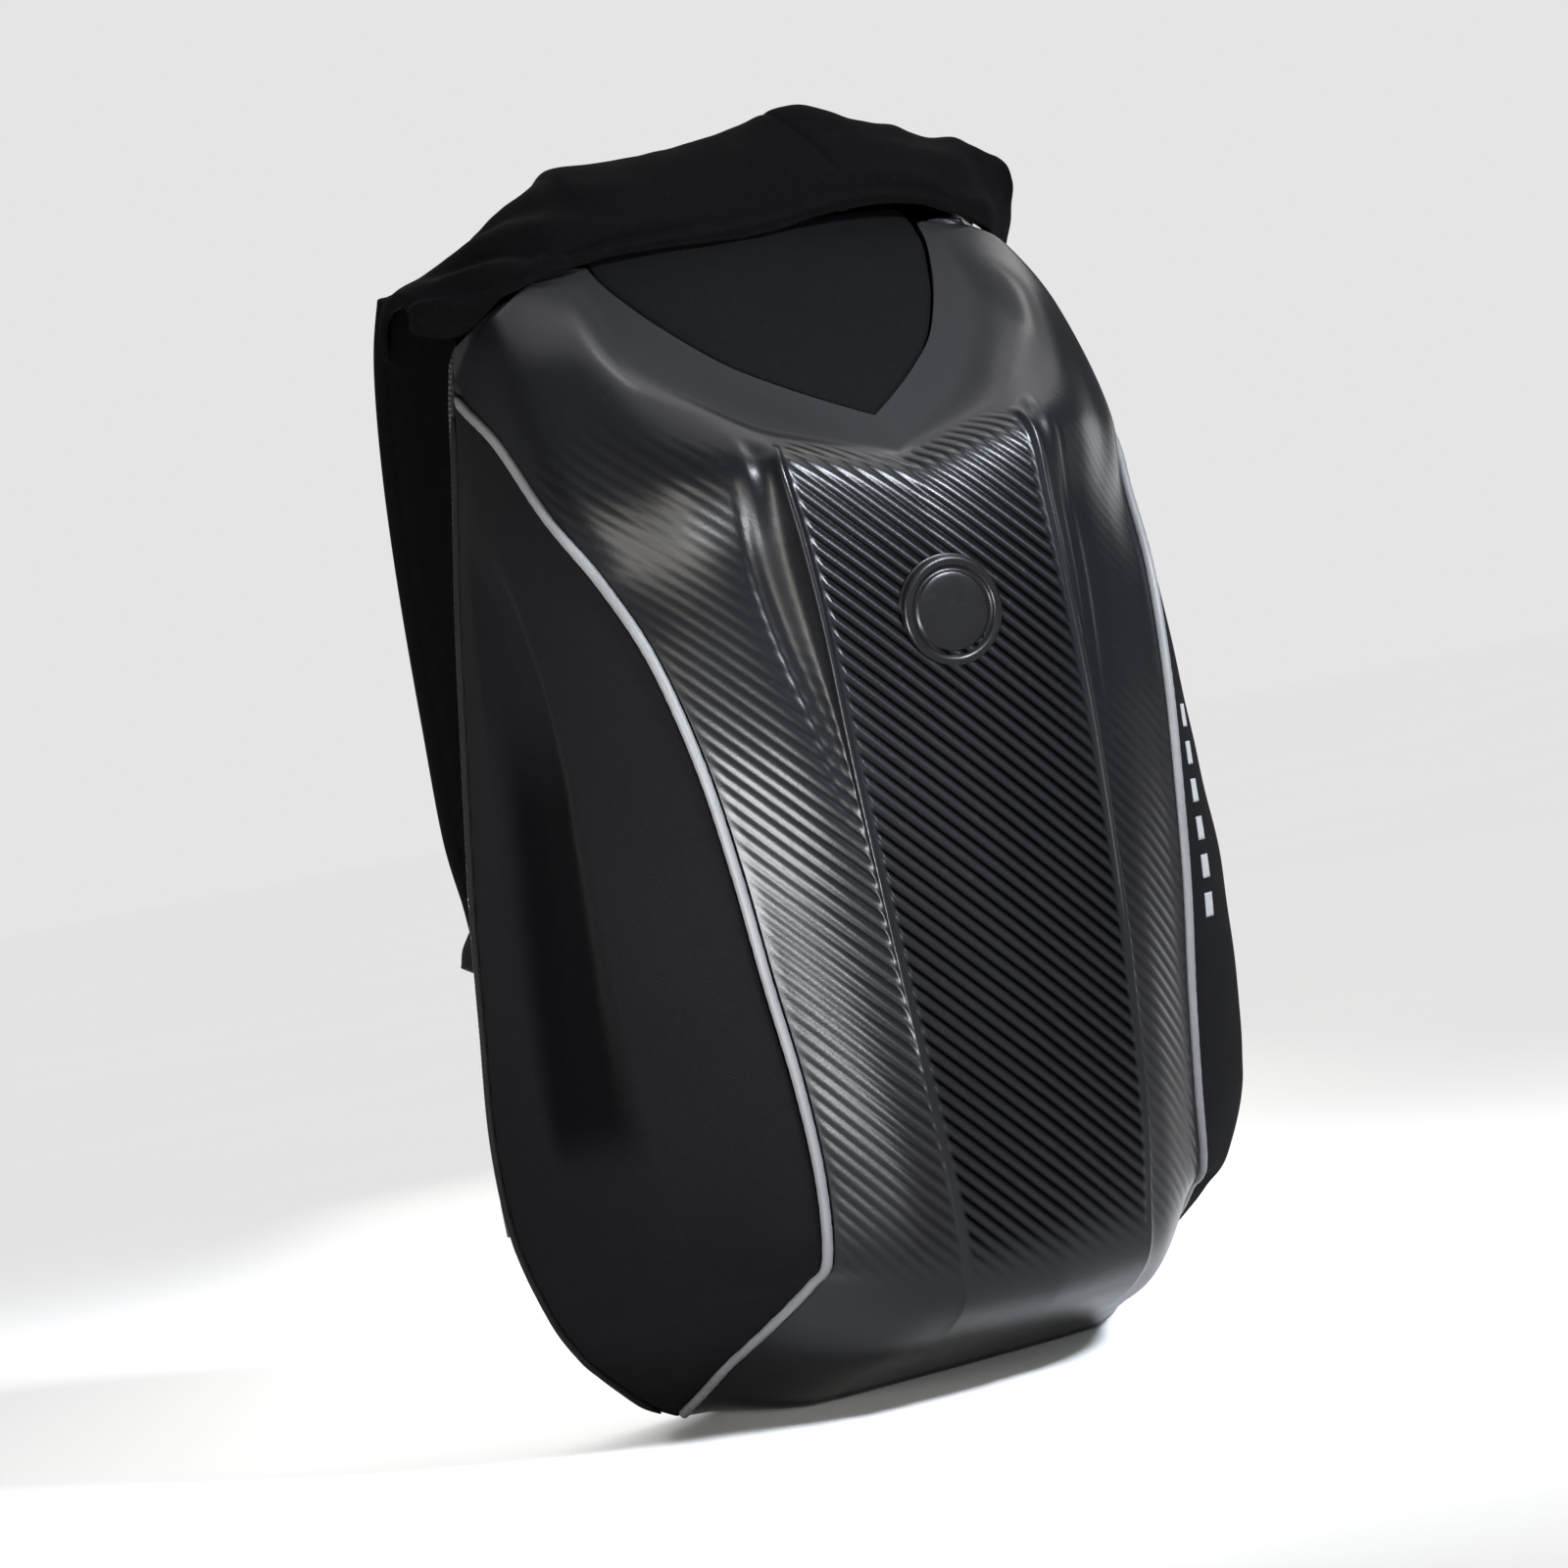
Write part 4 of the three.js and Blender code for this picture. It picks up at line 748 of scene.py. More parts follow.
def makeZip(tapeMaterial, toothMaterial):
    # a tape between two lines of the gusset, and two rows of teeth along its middle, half a pitch apart:
    # each tooth is a block of eight corners, corner = place + along * a / 2 + across * b / 2 + up * c / 2
    d = zipDetail
    low, high = d["front"] / body["gussetDepth"], (d["front"] + d["width"]) / body["gussetDepth"]
    shares = np.array([0, 0.03, 0.3, 0.42, 0.58, 0.7, 0.97, 1])
    rise = np.array([0.3, 1, 1, 1.5, 1.5, 1, 1, 0.3]) * d["tapeLift"]
    lines = [even(zipLine(low + s * (high - low), r), 320) for s, r in zip(shares, rise)]
    tape = np.stack(lines, 1)
    piece = makeMesh("zip_tape", [(tape, False, None, {})])
    addWall(piece, d["wall"])
    place(piece, "dark_cloth", tapeMaterial, "main_zip")
    middle = even(zipLine((low + high) / 2, d["teethLift"]), 4000)
    rear = even(zipLine(high, d["teethLift"]), 4000)
    length = arcLength(middle, 0)[-1]
    count = int(length / d["pitch"])
    blocks = []
    block = np.array([[x, y, z] for z in (-1, 1) for x, y in ((-1, -0.8), (1, -0.8), (1, 0.8), (-1, 0.8))])
    block[:4] *= [0.8, 1, 1]
    quads = np.array([[0, 3, 2, 1], [4, 5, 6, 7], [0, 1, 5, 4], [1, 2, 6, 5], [2, 3, 7, 6], [3, 0, 4, 7]])
    for row in (0, 1):
        want = (np.arange(count) + 0.5 * row) * d["pitch"] / length * 3999
        k = np.clip(want.astype(int), 1, 3997)
        at, along = middle[k], unit(middle[k + 1] - middle[k - 1])
        over = squareTo(rear[k] - at, along)
        up = np.cross(along, over)
        at = at + over * (d["rowOffset"] if row else -d["rowOffset"])
        a, b, c = d["tooth"]
        blocks.append(at[:, None] + block[None, :, :1] * along[:, None] * a / 2
                      + block[None, :, 1:2] * over[:, None] * b / 2 + block[None, :, 2:] * up[:, None] * c / 2)
    verts = np.concatenate(blocks)
    faces = (quads[None] + 8 * np.arange(len(verts))[:, None, None]).reshape(-1, 4)
    mesh = bpy.data.meshes.new("zip_teeth")
    mesh.from_pydata((verts.reshape(-1, 3) * mm).tolist(), [], faces.tolist())
    mesh.update()
    teeth = bpy.data.objects.new("zip_teeth", mesh)
    bpy.context.scene.collection.objects.link(teeth)
    return place(teeth, "black_plastic", toothMaterial)


panelDetail = dict(front=25, thickness=14, edge=5, inset=3.6, columns=120, rows=220,
                   grooves=(-34, 34), grooveDepth=3.2, grooveWidth=4.5, grooveEnd=(390, 415),
                   stitchOut=9.5, stitchDepth=0.5, stitchWidth=0.8, stitchEnd=(405, 415),
                   edgeSeamIn=9, edgeSeamDepth=0.8, edgeSeamWidth=1.0)


def makeBackPanel(material):
    # Pad with a rounded edge: out from the rear face by thickness * (1 - (1 - d / edge)^2)^0.5 near its
    # outline, where d is the distance in from it, with two upright air channels pressed in, a stitched line
    # on each side of them and a seam along the outline.
    d = panelDetail
    half = drawnLoop(1.0, d["inset"])[:halfStations]
    z = half[:, 2]
    order = np.argsort(z)
    q = np.sin(np.linspace(-1, 1, d["columns"] + 1) * math.pi / 2)
    keep = np.concatenate([[True], np.diff(z[order]) > 1e-6])
    ease = np.sin(np.linspace(-1, 1, d["rows"]) * math.pi / 2)
    v = z.min() + 0.05 + (ease + 1) / 2 * (z.max() - z.min() - 0.1)
    wide = np.interp(v, z[order][keep], half[order, 0][keep])
    X = wide[:, None] * q[None]
    Z = np.broadcast_to(v[:, None], X.shape)
    inFrom = np.minimum(wide[:, None] * (1 - np.abs(q))[None], np.minimum(Z - v.min(), v.max() - Z))
    e = np.clip(inFrom / d["edge"], 0, 1)
    thick = d["thickness"] * np.sqrt(np.maximum(1 - (1 - e) ** 2, 0))
    grooves = sum(bump(x, d["grooveWidth"], X) for x in d["grooves"])
    thick = thick - d["grooveDepth"] * (grooves * smooth(20, 50, Z) * (1 - smooth(*d["grooveEnd"], Z)))
    stitched = smooth(20, 30, Z) * (1 - smooth(*d["stitchEnd"], Z))
    for x in d["grooves"]:
        for out in (-d["stitchOut"], d["stitchOut"]):
            thick = thick - d["stitchDepth"] * bump(x + out, d["stitchWidth"], X) * stitched
    thick = np.maximum(thick - d["edgeSeamDepth"] * bump(d["edgeSeamIn"], d["edgeSeamWidth"], inFrom), 0)
    rear = np.stack([X, body["rimPlane"] + d["front"] + thick, Z], -1)
    front = np.stack([X, body["rimPlane"] + d["front"] + 0 * X, Z], -1)
    uv = np.stack([X, Z], -1) * mm
    piece = makeMesh("back_pad", [(rear, False, uv, {}), (front[:, ::-1], False, uv[:, ::-1], {})])
    mergeDoubles(piece)
    return place(piece, "dark_cloth", material, "back_panel")


strapDetail = dict(width=64, endWidth=44, thickness=12, out=98, bow=44, top=446, end=196, rear=39, sides=56,
                   stations=150, seamIn=4.5, seamDepth=0.9, seamWidth=1.4, endShare=0.72,
                   tapeWidth=25, tapeThick=1.3, tapeLift=0.1)
# the strap's middle line: out, back behind the pad and down, as shares
strapLine = np.array([
    [0.95, -0.07, 0], [0.95, 0.3, 0.085], [0.96, 0.62, 0.25], [0.98, 0.84, 0.45], [1.02, 0.86, 0.65],
    [1.08, 0.67, 0.83], [1.115, 0.34, 0.94], [1.12, 0.27, 1]])


def strapPath(count):
    # the right strap's middle line in even steps
    d = strapDetail
    rows = np.stack([strapLine[:, 0] * d["out"], body["rimPlane"] + d["rear"] + strapLine[:, 1] * d["bow"],
                     d["top"] - strapLine[:, 2] * (d["top"] - d["end"])], -1)
    return even(spline(rows, np.linspace(0, len(rows) - 1, 400)), count)


def makeStrap(name, side, material, tapeMaterial):
    # A padded band: sections x = a |cos|^0.5, y = b |sin|^0.7 with their signs, and a sewn groove beside each
    # edge. Webbing is sewn along its outer face.
    d = strapDetail
    path = strapPath(d["stations"])
    share = np.linspace(0, 1, d["stations"])
    width = d["width"] + (d["endWidth"] - d["width"]) * smooth(0.1, 1, share)
    ends = np.minimum(smooth(-0.03, 0.03, share), smooth(-0.03, 0.03, 1 - share))
    c, s = circle(d["sides"]).T
    a = width[:, None] / 2
    x = a * pressed(c, 0.5)
    thick = d["thickness"] / 2 * (d["endShare"] + (1 - d["endShare"]) * ends[:, None])
    seam = bump(0, d["seamWidth"], np.abs(x) - (a - d["seamIn"]))
    y = thick * pressed(s, 0.7) * (1 - d["seamDepth"] / thick * seam)
    piece = makeTubes(name + "_pad", side, sweep(path, toRight, np.stack([x, y], -1)))
    place(piece, "dark_cloth", material, name)
    tapePath = path[8:-4]
    out = np.cross(heading(tapePath), toRight)
    if out[20, 1] < 0:
        out = -out
    tapePath = tapePath + out * (d["thickness"] / 2 + d["tapeLift"])
    band = makeTubes(name + "_tape", side, sweep(tapePath, toRight, flatTape(d["tapeWidth"], d["tapeThick"])))
    place(band, "dark_cloth", tapeMaterial)


buckleDetail = dict(width=36, height=26, bar=3.4, thick=4.2, stations=72, sides=14, drop=0.7,
                    bars=(-0.28, 0.12), barRadii=(1.5, 1.7))


def strapEnd():
    # the end of the strap, and the way down along it
    path = strapPath(200)
    down = path[-1] - path[-8]
    return path[-1], down / np.linalg.norm(down)


def makeBuckle(name, side, material):
    # A ladder buckle: a rounded frame swept round a rounded rectangle, with two bars across it.
    d = buckleDetail
    end, down = strapEnd()
    centre = end + down * (d["height"] / 2 + d["drop"])
    out = np.cross(toRight, down)
    reach = d["width"] / 2 - d["bar"] / 2
    outline = roundOutline(reach, d["height"] / 2 - d["bar"] / 2, d["stations"], 6)
    path = centre + outline[:, :1] * toRight + outline[:, 1:] * down
    ring = circle(d["sides"])[None]
    inward = unit(centre - path)
    rings = (path[:, None] + ring[..., :1] * inward[:, None] * d["bar"] / 2
             + ring[..., 1:] * out * d["thick"] / 2)
    tubes = [np.concatenate([rings, rings[:1]])]
    for level in d["bars"]:
        bar = centre + down * level * d["height"] + np.linspace(-reach, reach, 10)[:, None] * toRight
        tubes.append(sweep(bar, down, roundOutline(*d["barRadii"], 12, 3)))
    piece = makeTubes(name + "_frame", side, *tubes)
    return place(piece, "black_plastic", material, name)


# tail: the loose end's middle line from the strap's end, out to the side, back and up
webbingDetail = dict(width=25, thick=1.5, foot=50, drawIn=26, stations=70, rear=40.15,
                     tailWidth=18,
                     tail=[(0, 2.6, 8), (7, 3.8, 5), (14, 2.4, 0), (20, -0.8, -6), (23, -3.4, -12)])


def makeWebbing(name, side, material):
    # a flat woven tape from the buckle down to the foot of the back pad, and a loose tail that runs out of
    # the buckle to the side and droops
    d = webbingDetail
    end, down = strapEnd()
    top = end + down * (buckleDetail["height"] + 1.4)
    rear = body["rimPlane"] + d["rear"]
    fall = top[2] - d["foot"]
    rows = np.array([top, [end[0] - 1, rear + 1.6, top[2] - 0.3 * fall],
                     [end[0] - 4, rear, top[2] - 0.55 * fall], [end[0] - d["drawIn"], rear, d["foot"]]])
    path = even(spline(rows, np.linspace(0, 3, 200)), d["stations"])
    tailRows = end + np.array(d["tail"])
    tailPath = even(spline(tailRows, np.linspace(0, len(tailRows) - 1, 60)), 30)
    tape = sweep(path, toRight, flatTape(d["width"], d["thick"]))
    tail = sweep(tailPath, np.array([0, 0.25, 1.0]), flatTape(d["tailWidth"], d["thick"]))
    piece = makeTubes(name + "_tape", side, tape, tail)
    return place(piece, "dark_cloth", material, name)


badgeDetail = dict(radius=20, thick=3.6, sides=96, solidThick=3.5)


def makeBadge(material):
    # A blank round badge: a profile of (radius, height) turned about its axis, with a rounded rim, a moat
    # and a slightly domed plain middle. It leans as its solid does, whose box is as deep as
    # thick + 2 radius sin(lean).
    d = badgeDetail
    low, high = (np.array(corner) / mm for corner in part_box("badge"))
    middle = (low + high) / 2
    r, t = d["radius"], d["thick"]
    profile = np.array([
        [0.01, 0], [r - 0.6, 0], [r, 0.5], [r, t - 1.2], [r - 0.35, t - 0.45], [r - 1.2, t], [r - 2.4, t],
        [r - 3.3, t - 0.4], [r - 3.9, t - 1.3], [r - 4.5, t - 1.7], [r - 5.3, t - 1.5], [r - 6.0, t - 0.9],
        [r - 7.5, t - 0.55], [r - 11, t - 0.3], [r - 16, t - 0.2], [0.01, t - 0.15]])
    profile = spline(profile, np.linspace(0, len(profile) - 1, 57))
    lean = math.asin(min(1, (high[1] - low[1] - d["solidThick"]) / (2 * r)))
    ring = circle(d["sides"])[None]
    up = np.array([0, -math.sin(lean), math.cos(lean)])
    out = np.cross(toRight, up)
    grid = (middle - out * t / 2 + profile[:, :1, None] * (ring[..., :1] * toRight + ring[..., 1:] * up)
            + profile[:, 1:, None] * out)
    piece = makeMesh("badge_disc", [(grid[::-1], True, None, {})])
    mergeDoubles(piece)
    return place(piece, "black_plastic", material, "badge")


dashDetail = dict(count=6, first=6.3, pitch=0.36, length=0.22, share=(0.11, 0.17), lift=0.35, wall=0.3)


def makeDashes(name, material):
    # plain reflective dashes in a row down the right side, each a patch of its surface raised by lift
    d = dashDetail
    grids = []
    for k in range(d["count"]):
        start = d["first"] + k * d["pitch"]
        patch = sideSurface(np.linspace(start, start + d["length"], 10), np.linspace(*d["share"], 9))
        grids.append((patch + gridNormals(patch) * d["lift"], False, None, {}))
    piece = makeMesh(name, grids)
    addWall(piece, d["wall"])
    return place(piece, "reflective_trim", material)


sliderDetail = dict(half=6.5, width=3.4, widen=1.1, thick=1.7, turn=0.49,
                    pullWidth=2.6, pullThick=0.8, pullLength=1.35, pullDrop=11, pullOut=1.8, pullLean=0.5)


def makeSliders(material):
    # a slider that widens upwards, swept up its middle line, with a flat pull that hangs from it inwards
    d = sliderDetail
    for side, hand in ((-1, "left"), (1, "right")):
        name = "zip_slider_" + hand
        low, high = (np.array(corner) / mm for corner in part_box(name))
        middle = (low + high) / 2
        outward = np.array([side * math.cos(d["turn"]), math.sin(d["turn"]), 0])
        across = np.array([-outward[1], outward[0], 0])
        z = np.linspace(-d["half"], d["half"], 14)
        width = d["width"] + d["widen"] * smooth(-d["half"], 5, z)
        slider = sweep(middle + np.stack([0 * z, 0 * z, z], -1), across,
                       np.stack([roundOutline(w, d["thick"], 20, 3.5) for w in width]))
        hang = z * d["pullLength"] - d["pullDrop"]
        pull = middle + outward * d["pullOut"] + np.stack([side * d["pullLean"] * hang, 0 * z, hang], -1)
        tab = sweep(pull, across, roundOutline(d["pullWidth"], d["pullThick"], 18, 3))
        piece = makeTubes(name + "_body", 1, slider, tab)
        place(piece, "black_plastic", material, name)


# Materials: the groups put out heights, masks and colours, and each material has its own shader

def newGroup(name, inputs, outputs):
    # inputs: (name, kind, default); outputs: (name, kind)
    group = bpy.data.node_groups.new(name, "ShaderNodeTree")
    for label, kind, value in inputs:
        socket = group.interface.new_socket(name=label, in_out="INPUT", socket_type="NodeSocket" + kind)
        if value is not None:
            socket.default_value = value
    for label, kind in outputs:
        group.interface.new_socket(name=label, in_out="OUTPUT", socket_type="NodeSocket" + kind)
    return group, group.nodes.new("NodeGroupInput"), group.nodes.new("NodeGroupOutput")


def wire(tree, source, target):
    tree.links.new(source, target)


def feed(tree, socket, value):
    # links a socket to another node's output, or sets it to a number or a colour
    if hasattr(value, "links"):
        wire(tree, value, socket)
    else:
        socket.default_value = (*value, 1) if isinstance(value, tuple) else value


def ownUv(tree):
    # the piece's own map, in metres along its surface
    node = tree.nodes.new("ShaderNodeUVMap")
    node.uv_map = "surface"
    return node.outputs[0]


def ownPlace(tree):
    return tree.nodes.new("ShaderNodeTexCoord").outputs["Object"]


def ownMask(tree, name):
    # a mask that makeMesh stored at the piece's points
    node = tree.nodes.new("ShaderNodeAttribute")
    node.attribute_name = name
    return node.outputs["Fac"]


def scaled(colour, share):
    return tuple(share * k for k in colour)


def mathNode(tree, kind, first, second=None, third=None):
    node = tree.nodes.new("ShaderNodeMath")
    node.operation = kind
    for k, value in enumerate((first, second, third)):
        if value is not None:
            feed(tree, node.inputs[k], value)
    return node.outputs[0]


def noiseNode(tree, vector, scale, detail=3.0, rough=0.55):
    node = tree.nodes.new("ShaderNodeTexNoise")
    node.inputs["Detail"].default_value = detail
    node.inputs["Roughness"].default_value = rough
    feed(tree, node.inputs["Scale"], scale)
    wire(tree, vector, node.inputs["Vector"])
    return node.outputs["Fac"]


def buildRibs():
    # slanting ribs: crests (0.5 + 0.5 sin((u + v) 2 pi / (pitch sqrt 2))) ^ 0.9, grooves 1 - crest, which the
    # shell uses for painted shade
    tree, given, out = newGroup(
        "slantedRibs", [("Surface", "Vector", None), ("Pitch", "Float", 0.0047), ("Mask", "Float", 1.0)],
        [("Height", "Float"), ("GrooveShade", "Float")])
    split = tree.nodes.new("ShaderNodeSeparateXYZ")
    wire(tree, given.outputs["Surface"], split.inputs[0])
    total = mathNode(tree, "ADD", split.outputs[0], split.outputs[1])
    turns = mathNode(tree, "DIVIDE", total, mathNode(tree, "MULTIPLY", given.outputs["Pitch"], math.sqrt(2)))
    swing = mathNode(tree, "SINE", mathNode(tree, "MULTIPLY", turns, 2 * math.pi))
    level = mathNode(tree, "MULTIPLY_ADD", swing, 0.5, 0.5)
    crest = mathNode(tree, "POWER", level, 0.9)
    height = mathNode(tree, "MULTIPLY", crest, given.outputs["Mask"])
    grooveShade = mathNode(tree, "MULTIPLY", mathNode(tree, "SUBTRACT", 1.0, crest), given.outputs["Mask"])
    wire(tree, height, out.inputs["Height"])
    wire(tree, grooveShade, out.inputs["GrooveShade"])
    return tree


def buildWeave():
    # a plain weave: warp and weft as products of half waves that take turns to lie on top
    tree, given, out = newGroup("plainWeave", [("Surface", "Vector", None), ("Thread", "Float", 0.0007)],
                                [("Height", "Float"), ("Tone", "Float")])
    split = tree.nodes.new("ShaderNodeSeparateXYZ")
    wire(tree, given.outputs["Surface"], split.inputs[0])
    swings, rounds = [], []
    for k in (0, 1):
        threads = mathNode(tree, "DIVIDE", split.outputs[k], given.outputs["Thread"])
        turn = mathNode(tree, "MULTIPLY", threads, math.pi)
        swings.append(mathNode(tree, "SINE", turn))
        rounds.append(mathNode(tree, "ABSOLUTE", mathNode(tree, "COSINE", turn)))
    over = mathNode(tree, "MULTIPLY", *swings)
    warp = mathNode(tree, "MULTIPLY", mathNode(tree, "MULTIPLY_ADD", over, 0.5, 0.5), rounds[0])
    weft = mathNode(tree, "MULTIPLY", mathNode(tree, "MULTIPLY_ADD", over, -0.5, 0.5), rounds[1])
    height = mathNode(tree, "MAXIMUM", warp, weft)
    wire(tree, height, out.inputs["Height"])
    wire(tree, mathNode(tree, "GREATER_THAN", warp, weft), out.inputs["Tone"])
    return tree


def buildKnit():
    # fine knit on foam: small rounded cells, 1 - distance to the nearest cell's middle, over soft grain
    tree, given, out = newGroup("fineKnit", [("Place", "Vector", None), ("Cell", "Float", 0.0011)],
                                [("Height", "Float"), ("Tone", "Float")])
    scale = mathNode(tree, "DIVIDE", 1.0, given.outputs["Cell"])
    cells = tree.nodes.new("ShaderNodeTexVoronoi")
    cells.feature = "F1"
    cells.inputs["Randomness"].default_value = 0.75
    wire(tree, given.outputs["Place"], cells.inputs["Vector"])
    wire(tree, scale, cells.inputs["Scale"])
    grain = noiseNode(tree, given.outputs["Place"], 420, 2)
    height = mathNode(tree, "SUBTRACT", 1.0, cells.outputs["Distance"])
    height = mathNode(tree, "MULTIPLY_ADD", grain, 0.5, height)
    wire(tree, height, out.inputs["Height"])
    wire(tree, cells.outputs["Distance"], out.inputs["Tone"])
    return tree


def buildWear():
    # slow variation and fine dust: two noises of place, the finer one cut to specks
    tree, given, out = newGroup(
        "softWear", [("Place", "Vector", None), ("Size", "Float", 14.0), ("Specks", "Float", 0.3)],
        [("Shift", "Float"), ("Dust", "Float")])
    slow = noiseNode(tree, given.outputs["Place"], given.outputs["Size"], 4, 0.5)
    fine = noiseNode(tree, given.outputs["Place"], 260, 4, 0.7)
    cut = tree.nodes.new("ShaderNodeMapRange")
    cut.inputs["From Min"].default_value = 0.6
    cut.inputs["From Max"].default_value = 0.78
    wire(tree, fine, cut.inputs["Value"])
    wire(tree, slow, out.inputs["Shift"])
    wire(tree, mathNode(tree, "MULTIPLY", cut.outputs[0], given.outputs["Specks"]), out.inputs["Dust"])
    return tree


groups = dict(ribs=buildRibs(), weave=buildWeave(), knit=buildKnit(), wear=buildWear())


def startMaterial(name):
    material = bpy.data.materials.new(name)
    material.use_nodes = True
    tree = material.node_tree
    shader = tree.nodes["Principled BSDF"]
    return material, tree, shader


def useGroup(tree, key, **values):
    # places a group, with each input either linked or set
    node = tree.nodes.new("ShaderNodeGroup")
    node.node_tree = groups[key]
    for label, value in values.items():
        feed(tree, node.inputs[label], value)
    return node


def mixColour(tree, factor, first, second):
    node = tree.nodes.new("ShaderNodeMix")
    node.data_type = "RGBA"
    for k, value in ((0, factor), (6, first), (7, second)):
        feed(tree, node.inputs[k], value)
    return node.outputs[2]


def addBump(tree, shader, height, distance, strength=1.0, before=None):
    node = tree.nodes.new("ShaderNodeBump")
    node.inputs["Distance"].default_value = distance
    node.inputs["Strength"].default_value = strength
    wire(tree, height, node.inputs["Height"])
    if before is not None:
        wire(tree, before, node.inputs["Normal"])
    wire(tree, node.outputs[0], shader.inputs["Normal"])
    return node.outputs[0]


def varyRough(tree, shader, wear, low, more):
    # roughness = low + more * the slow variation
    rough = mathNode(tree, "MULTIPLY_ADD", wear.outputs["Shift"], more, low)
    wire(tree, rough, shader.inputs["Roughness"])


def setShader(shader, **values):
    for label, value in values.items():
        shader.inputs[label.replace("_", " ")].default_value = value


# lengths in a material are metres
# the near-black colour with its cover and sharpness gives painted shade in the ribs' grooves and on the edge
# under the yoke
shellLook = dict(base=(0.0026, 0.0027, 0.0033), crest=(0.0046, 0.0048, 0.0058), grooveShade=(0.0003, 0.0003, 0.0004),
                 grooveShadeCover=0.95, grooveShadeSharp=1.5, dust=(0.012, 0.012, 0.012), patches=9.0, specks=0.35,
                 rough=0.26, roughMore=0.09, dustRough=0.3, lipRough=0.5, specular=0.18,
                 pitch=0.0047, ribDepth=0.00062, grainScale=900, grainDepth=0.00006)


def shellMaterial():
    # moulded shell: ribs with painted shade in their grooves, near-black and without shine, satin crests, a
    # matt lip, painted shade on the edge under the yoke and a fine grain over all
    d = shellLook
    material, tree, shader = startMaterial("ribbedShell")
    where, paintedShadeUnderYoke = ownPlace(tree), ownMask(tree, "paintedShadeUnderYoke")
    ribs = useGroup(tree, "ribs", Surface=ownUv(tree), Pitch=d["pitch"], Mask=ownMask(tree, "ribs"))
    wear = useGroup(tree, "wear", Place=where, Size=d["patches"], Specks=d["specks"])
    colour = mixColour(tree, wear.outputs["Shift"], d["base"], d["crest"])
    # painted shade: the colour is darkened in the ribs' grooves
    paintedShadeCover = mathNode(tree, "MULTIPLY", ribs.outputs["GrooveShade"], d["grooveShadeCover"])
    colour = mixColour(tree, paintedShadeCover, colour, d["grooveShade"])
    colour = mixColour(tree, wear.outputs["Dust"], colour, d["dust"])
    # painted shade: the edge under the yoke takes the near-black of the grooves
    wire(tree, mixColour(tree, paintedShadeUnderYoke, colour, d["grooveShade"]), shader.inputs["Base Color"])
    rough = mathNode(tree, "MULTIPLY_ADD", wear.outputs["Shift"], d["roughMore"], d["rough"])
    rough = mathNode(tree, "MULTIPLY_ADD", wear.outputs["Dust"], d["dustRough"], rough)
    rough = mathNode(tree, "MULTIPLY_ADD", ownMask(tree, "lip"), d["lipRough"], rough)
    wire(tree, rough, shader.inputs["Roughness"])
    # painted shade: the grooves and the edge under the yoke are made near-black metal, which mirrors next to
    # nothing
    paintedShadeMetal = mathNode(tree, "POWER", ribs.outputs["GrooveShade"], d["grooveShadeSharp"])
    wire(tree, mathNode(tree, "MAXIMUM", paintedShadeMetal, paintedShadeUnderYoke), shader.inputs["Metallic"])
    first = addBump(tree, shader, ribs.outputs["Height"], d["ribDepth"])
    addBump(tree, shader, noiseNode(tree, where, d["grainScale"], 3, 0.6), d["grainDepth"], 0.8, first)
    setShader(shader, Specular_IOR_Level=d["specular"])
    return material


# what the dark cloths and neoprenes share, with the near-black that paints shade in the side's valley
softLook = dict(lint=(0.009, 0.009, 0.009), paintedValleyShade=(0.0008, 0.0008, 0.001), paintedValleyShadeCover=0.8, specular=0.008)


def clothMaterial(name, warp, weft, thread, depth, rough=0.9, sheen=0.008, slack=0.0005):
    # woven cloth on the piece's own UV, with slow unevenness, lint, a little slackness and painted shade where
    # the piece's valley mask is set
    material, tree, shader = startMaterial(name)
    where = ownPlace(tree)
    weave = useGroup(tree, "weave", Surface=ownUv(tree), Thread=thread)
    wear = useGroup(tree, "wear", Place=where, Size=22.0, Specks=0.25)
    colour = mixColour(tree, weave.outputs["Tone"], warp, weft)
    uneven = mathNode(tree, "MULTIPLY", wear.outputs["Shift"], 0.6)
    colour = mixColour(tree, uneven, colour, scaled(warp, 0.55))
    colour = mixColour(tree, wear.outputs["Dust"], colour, softLook["lint"])
    # painted shade: the colour is mixed towards near-black by the side panel's valley mask
    paintedShadeCover = mathNode(tree, "MULTIPLY", ownMask(tree, "paintedValleyShade"), softLook["paintedValleyShadeCover"])
    wire(tree, mixColour(tree, paintedShadeCover, colour, softLook["paintedValleyShade"]), shader.inputs["Base Color"])
    varyRough(tree, shader, wear, rough - 0.07, 0.15)
    slow = addBump(tree, shader, noiseNode(tree, where, 60, 3), slack, 0.6)
    addBump(tree, shader, weave.outputs["Height"], depth, 0.9, slow)
    setShader(shader, Sheen_Weight=sheen, Sheen_Roughness=0.45, Specular_IOR_Level=softLook["specular"])
    return material


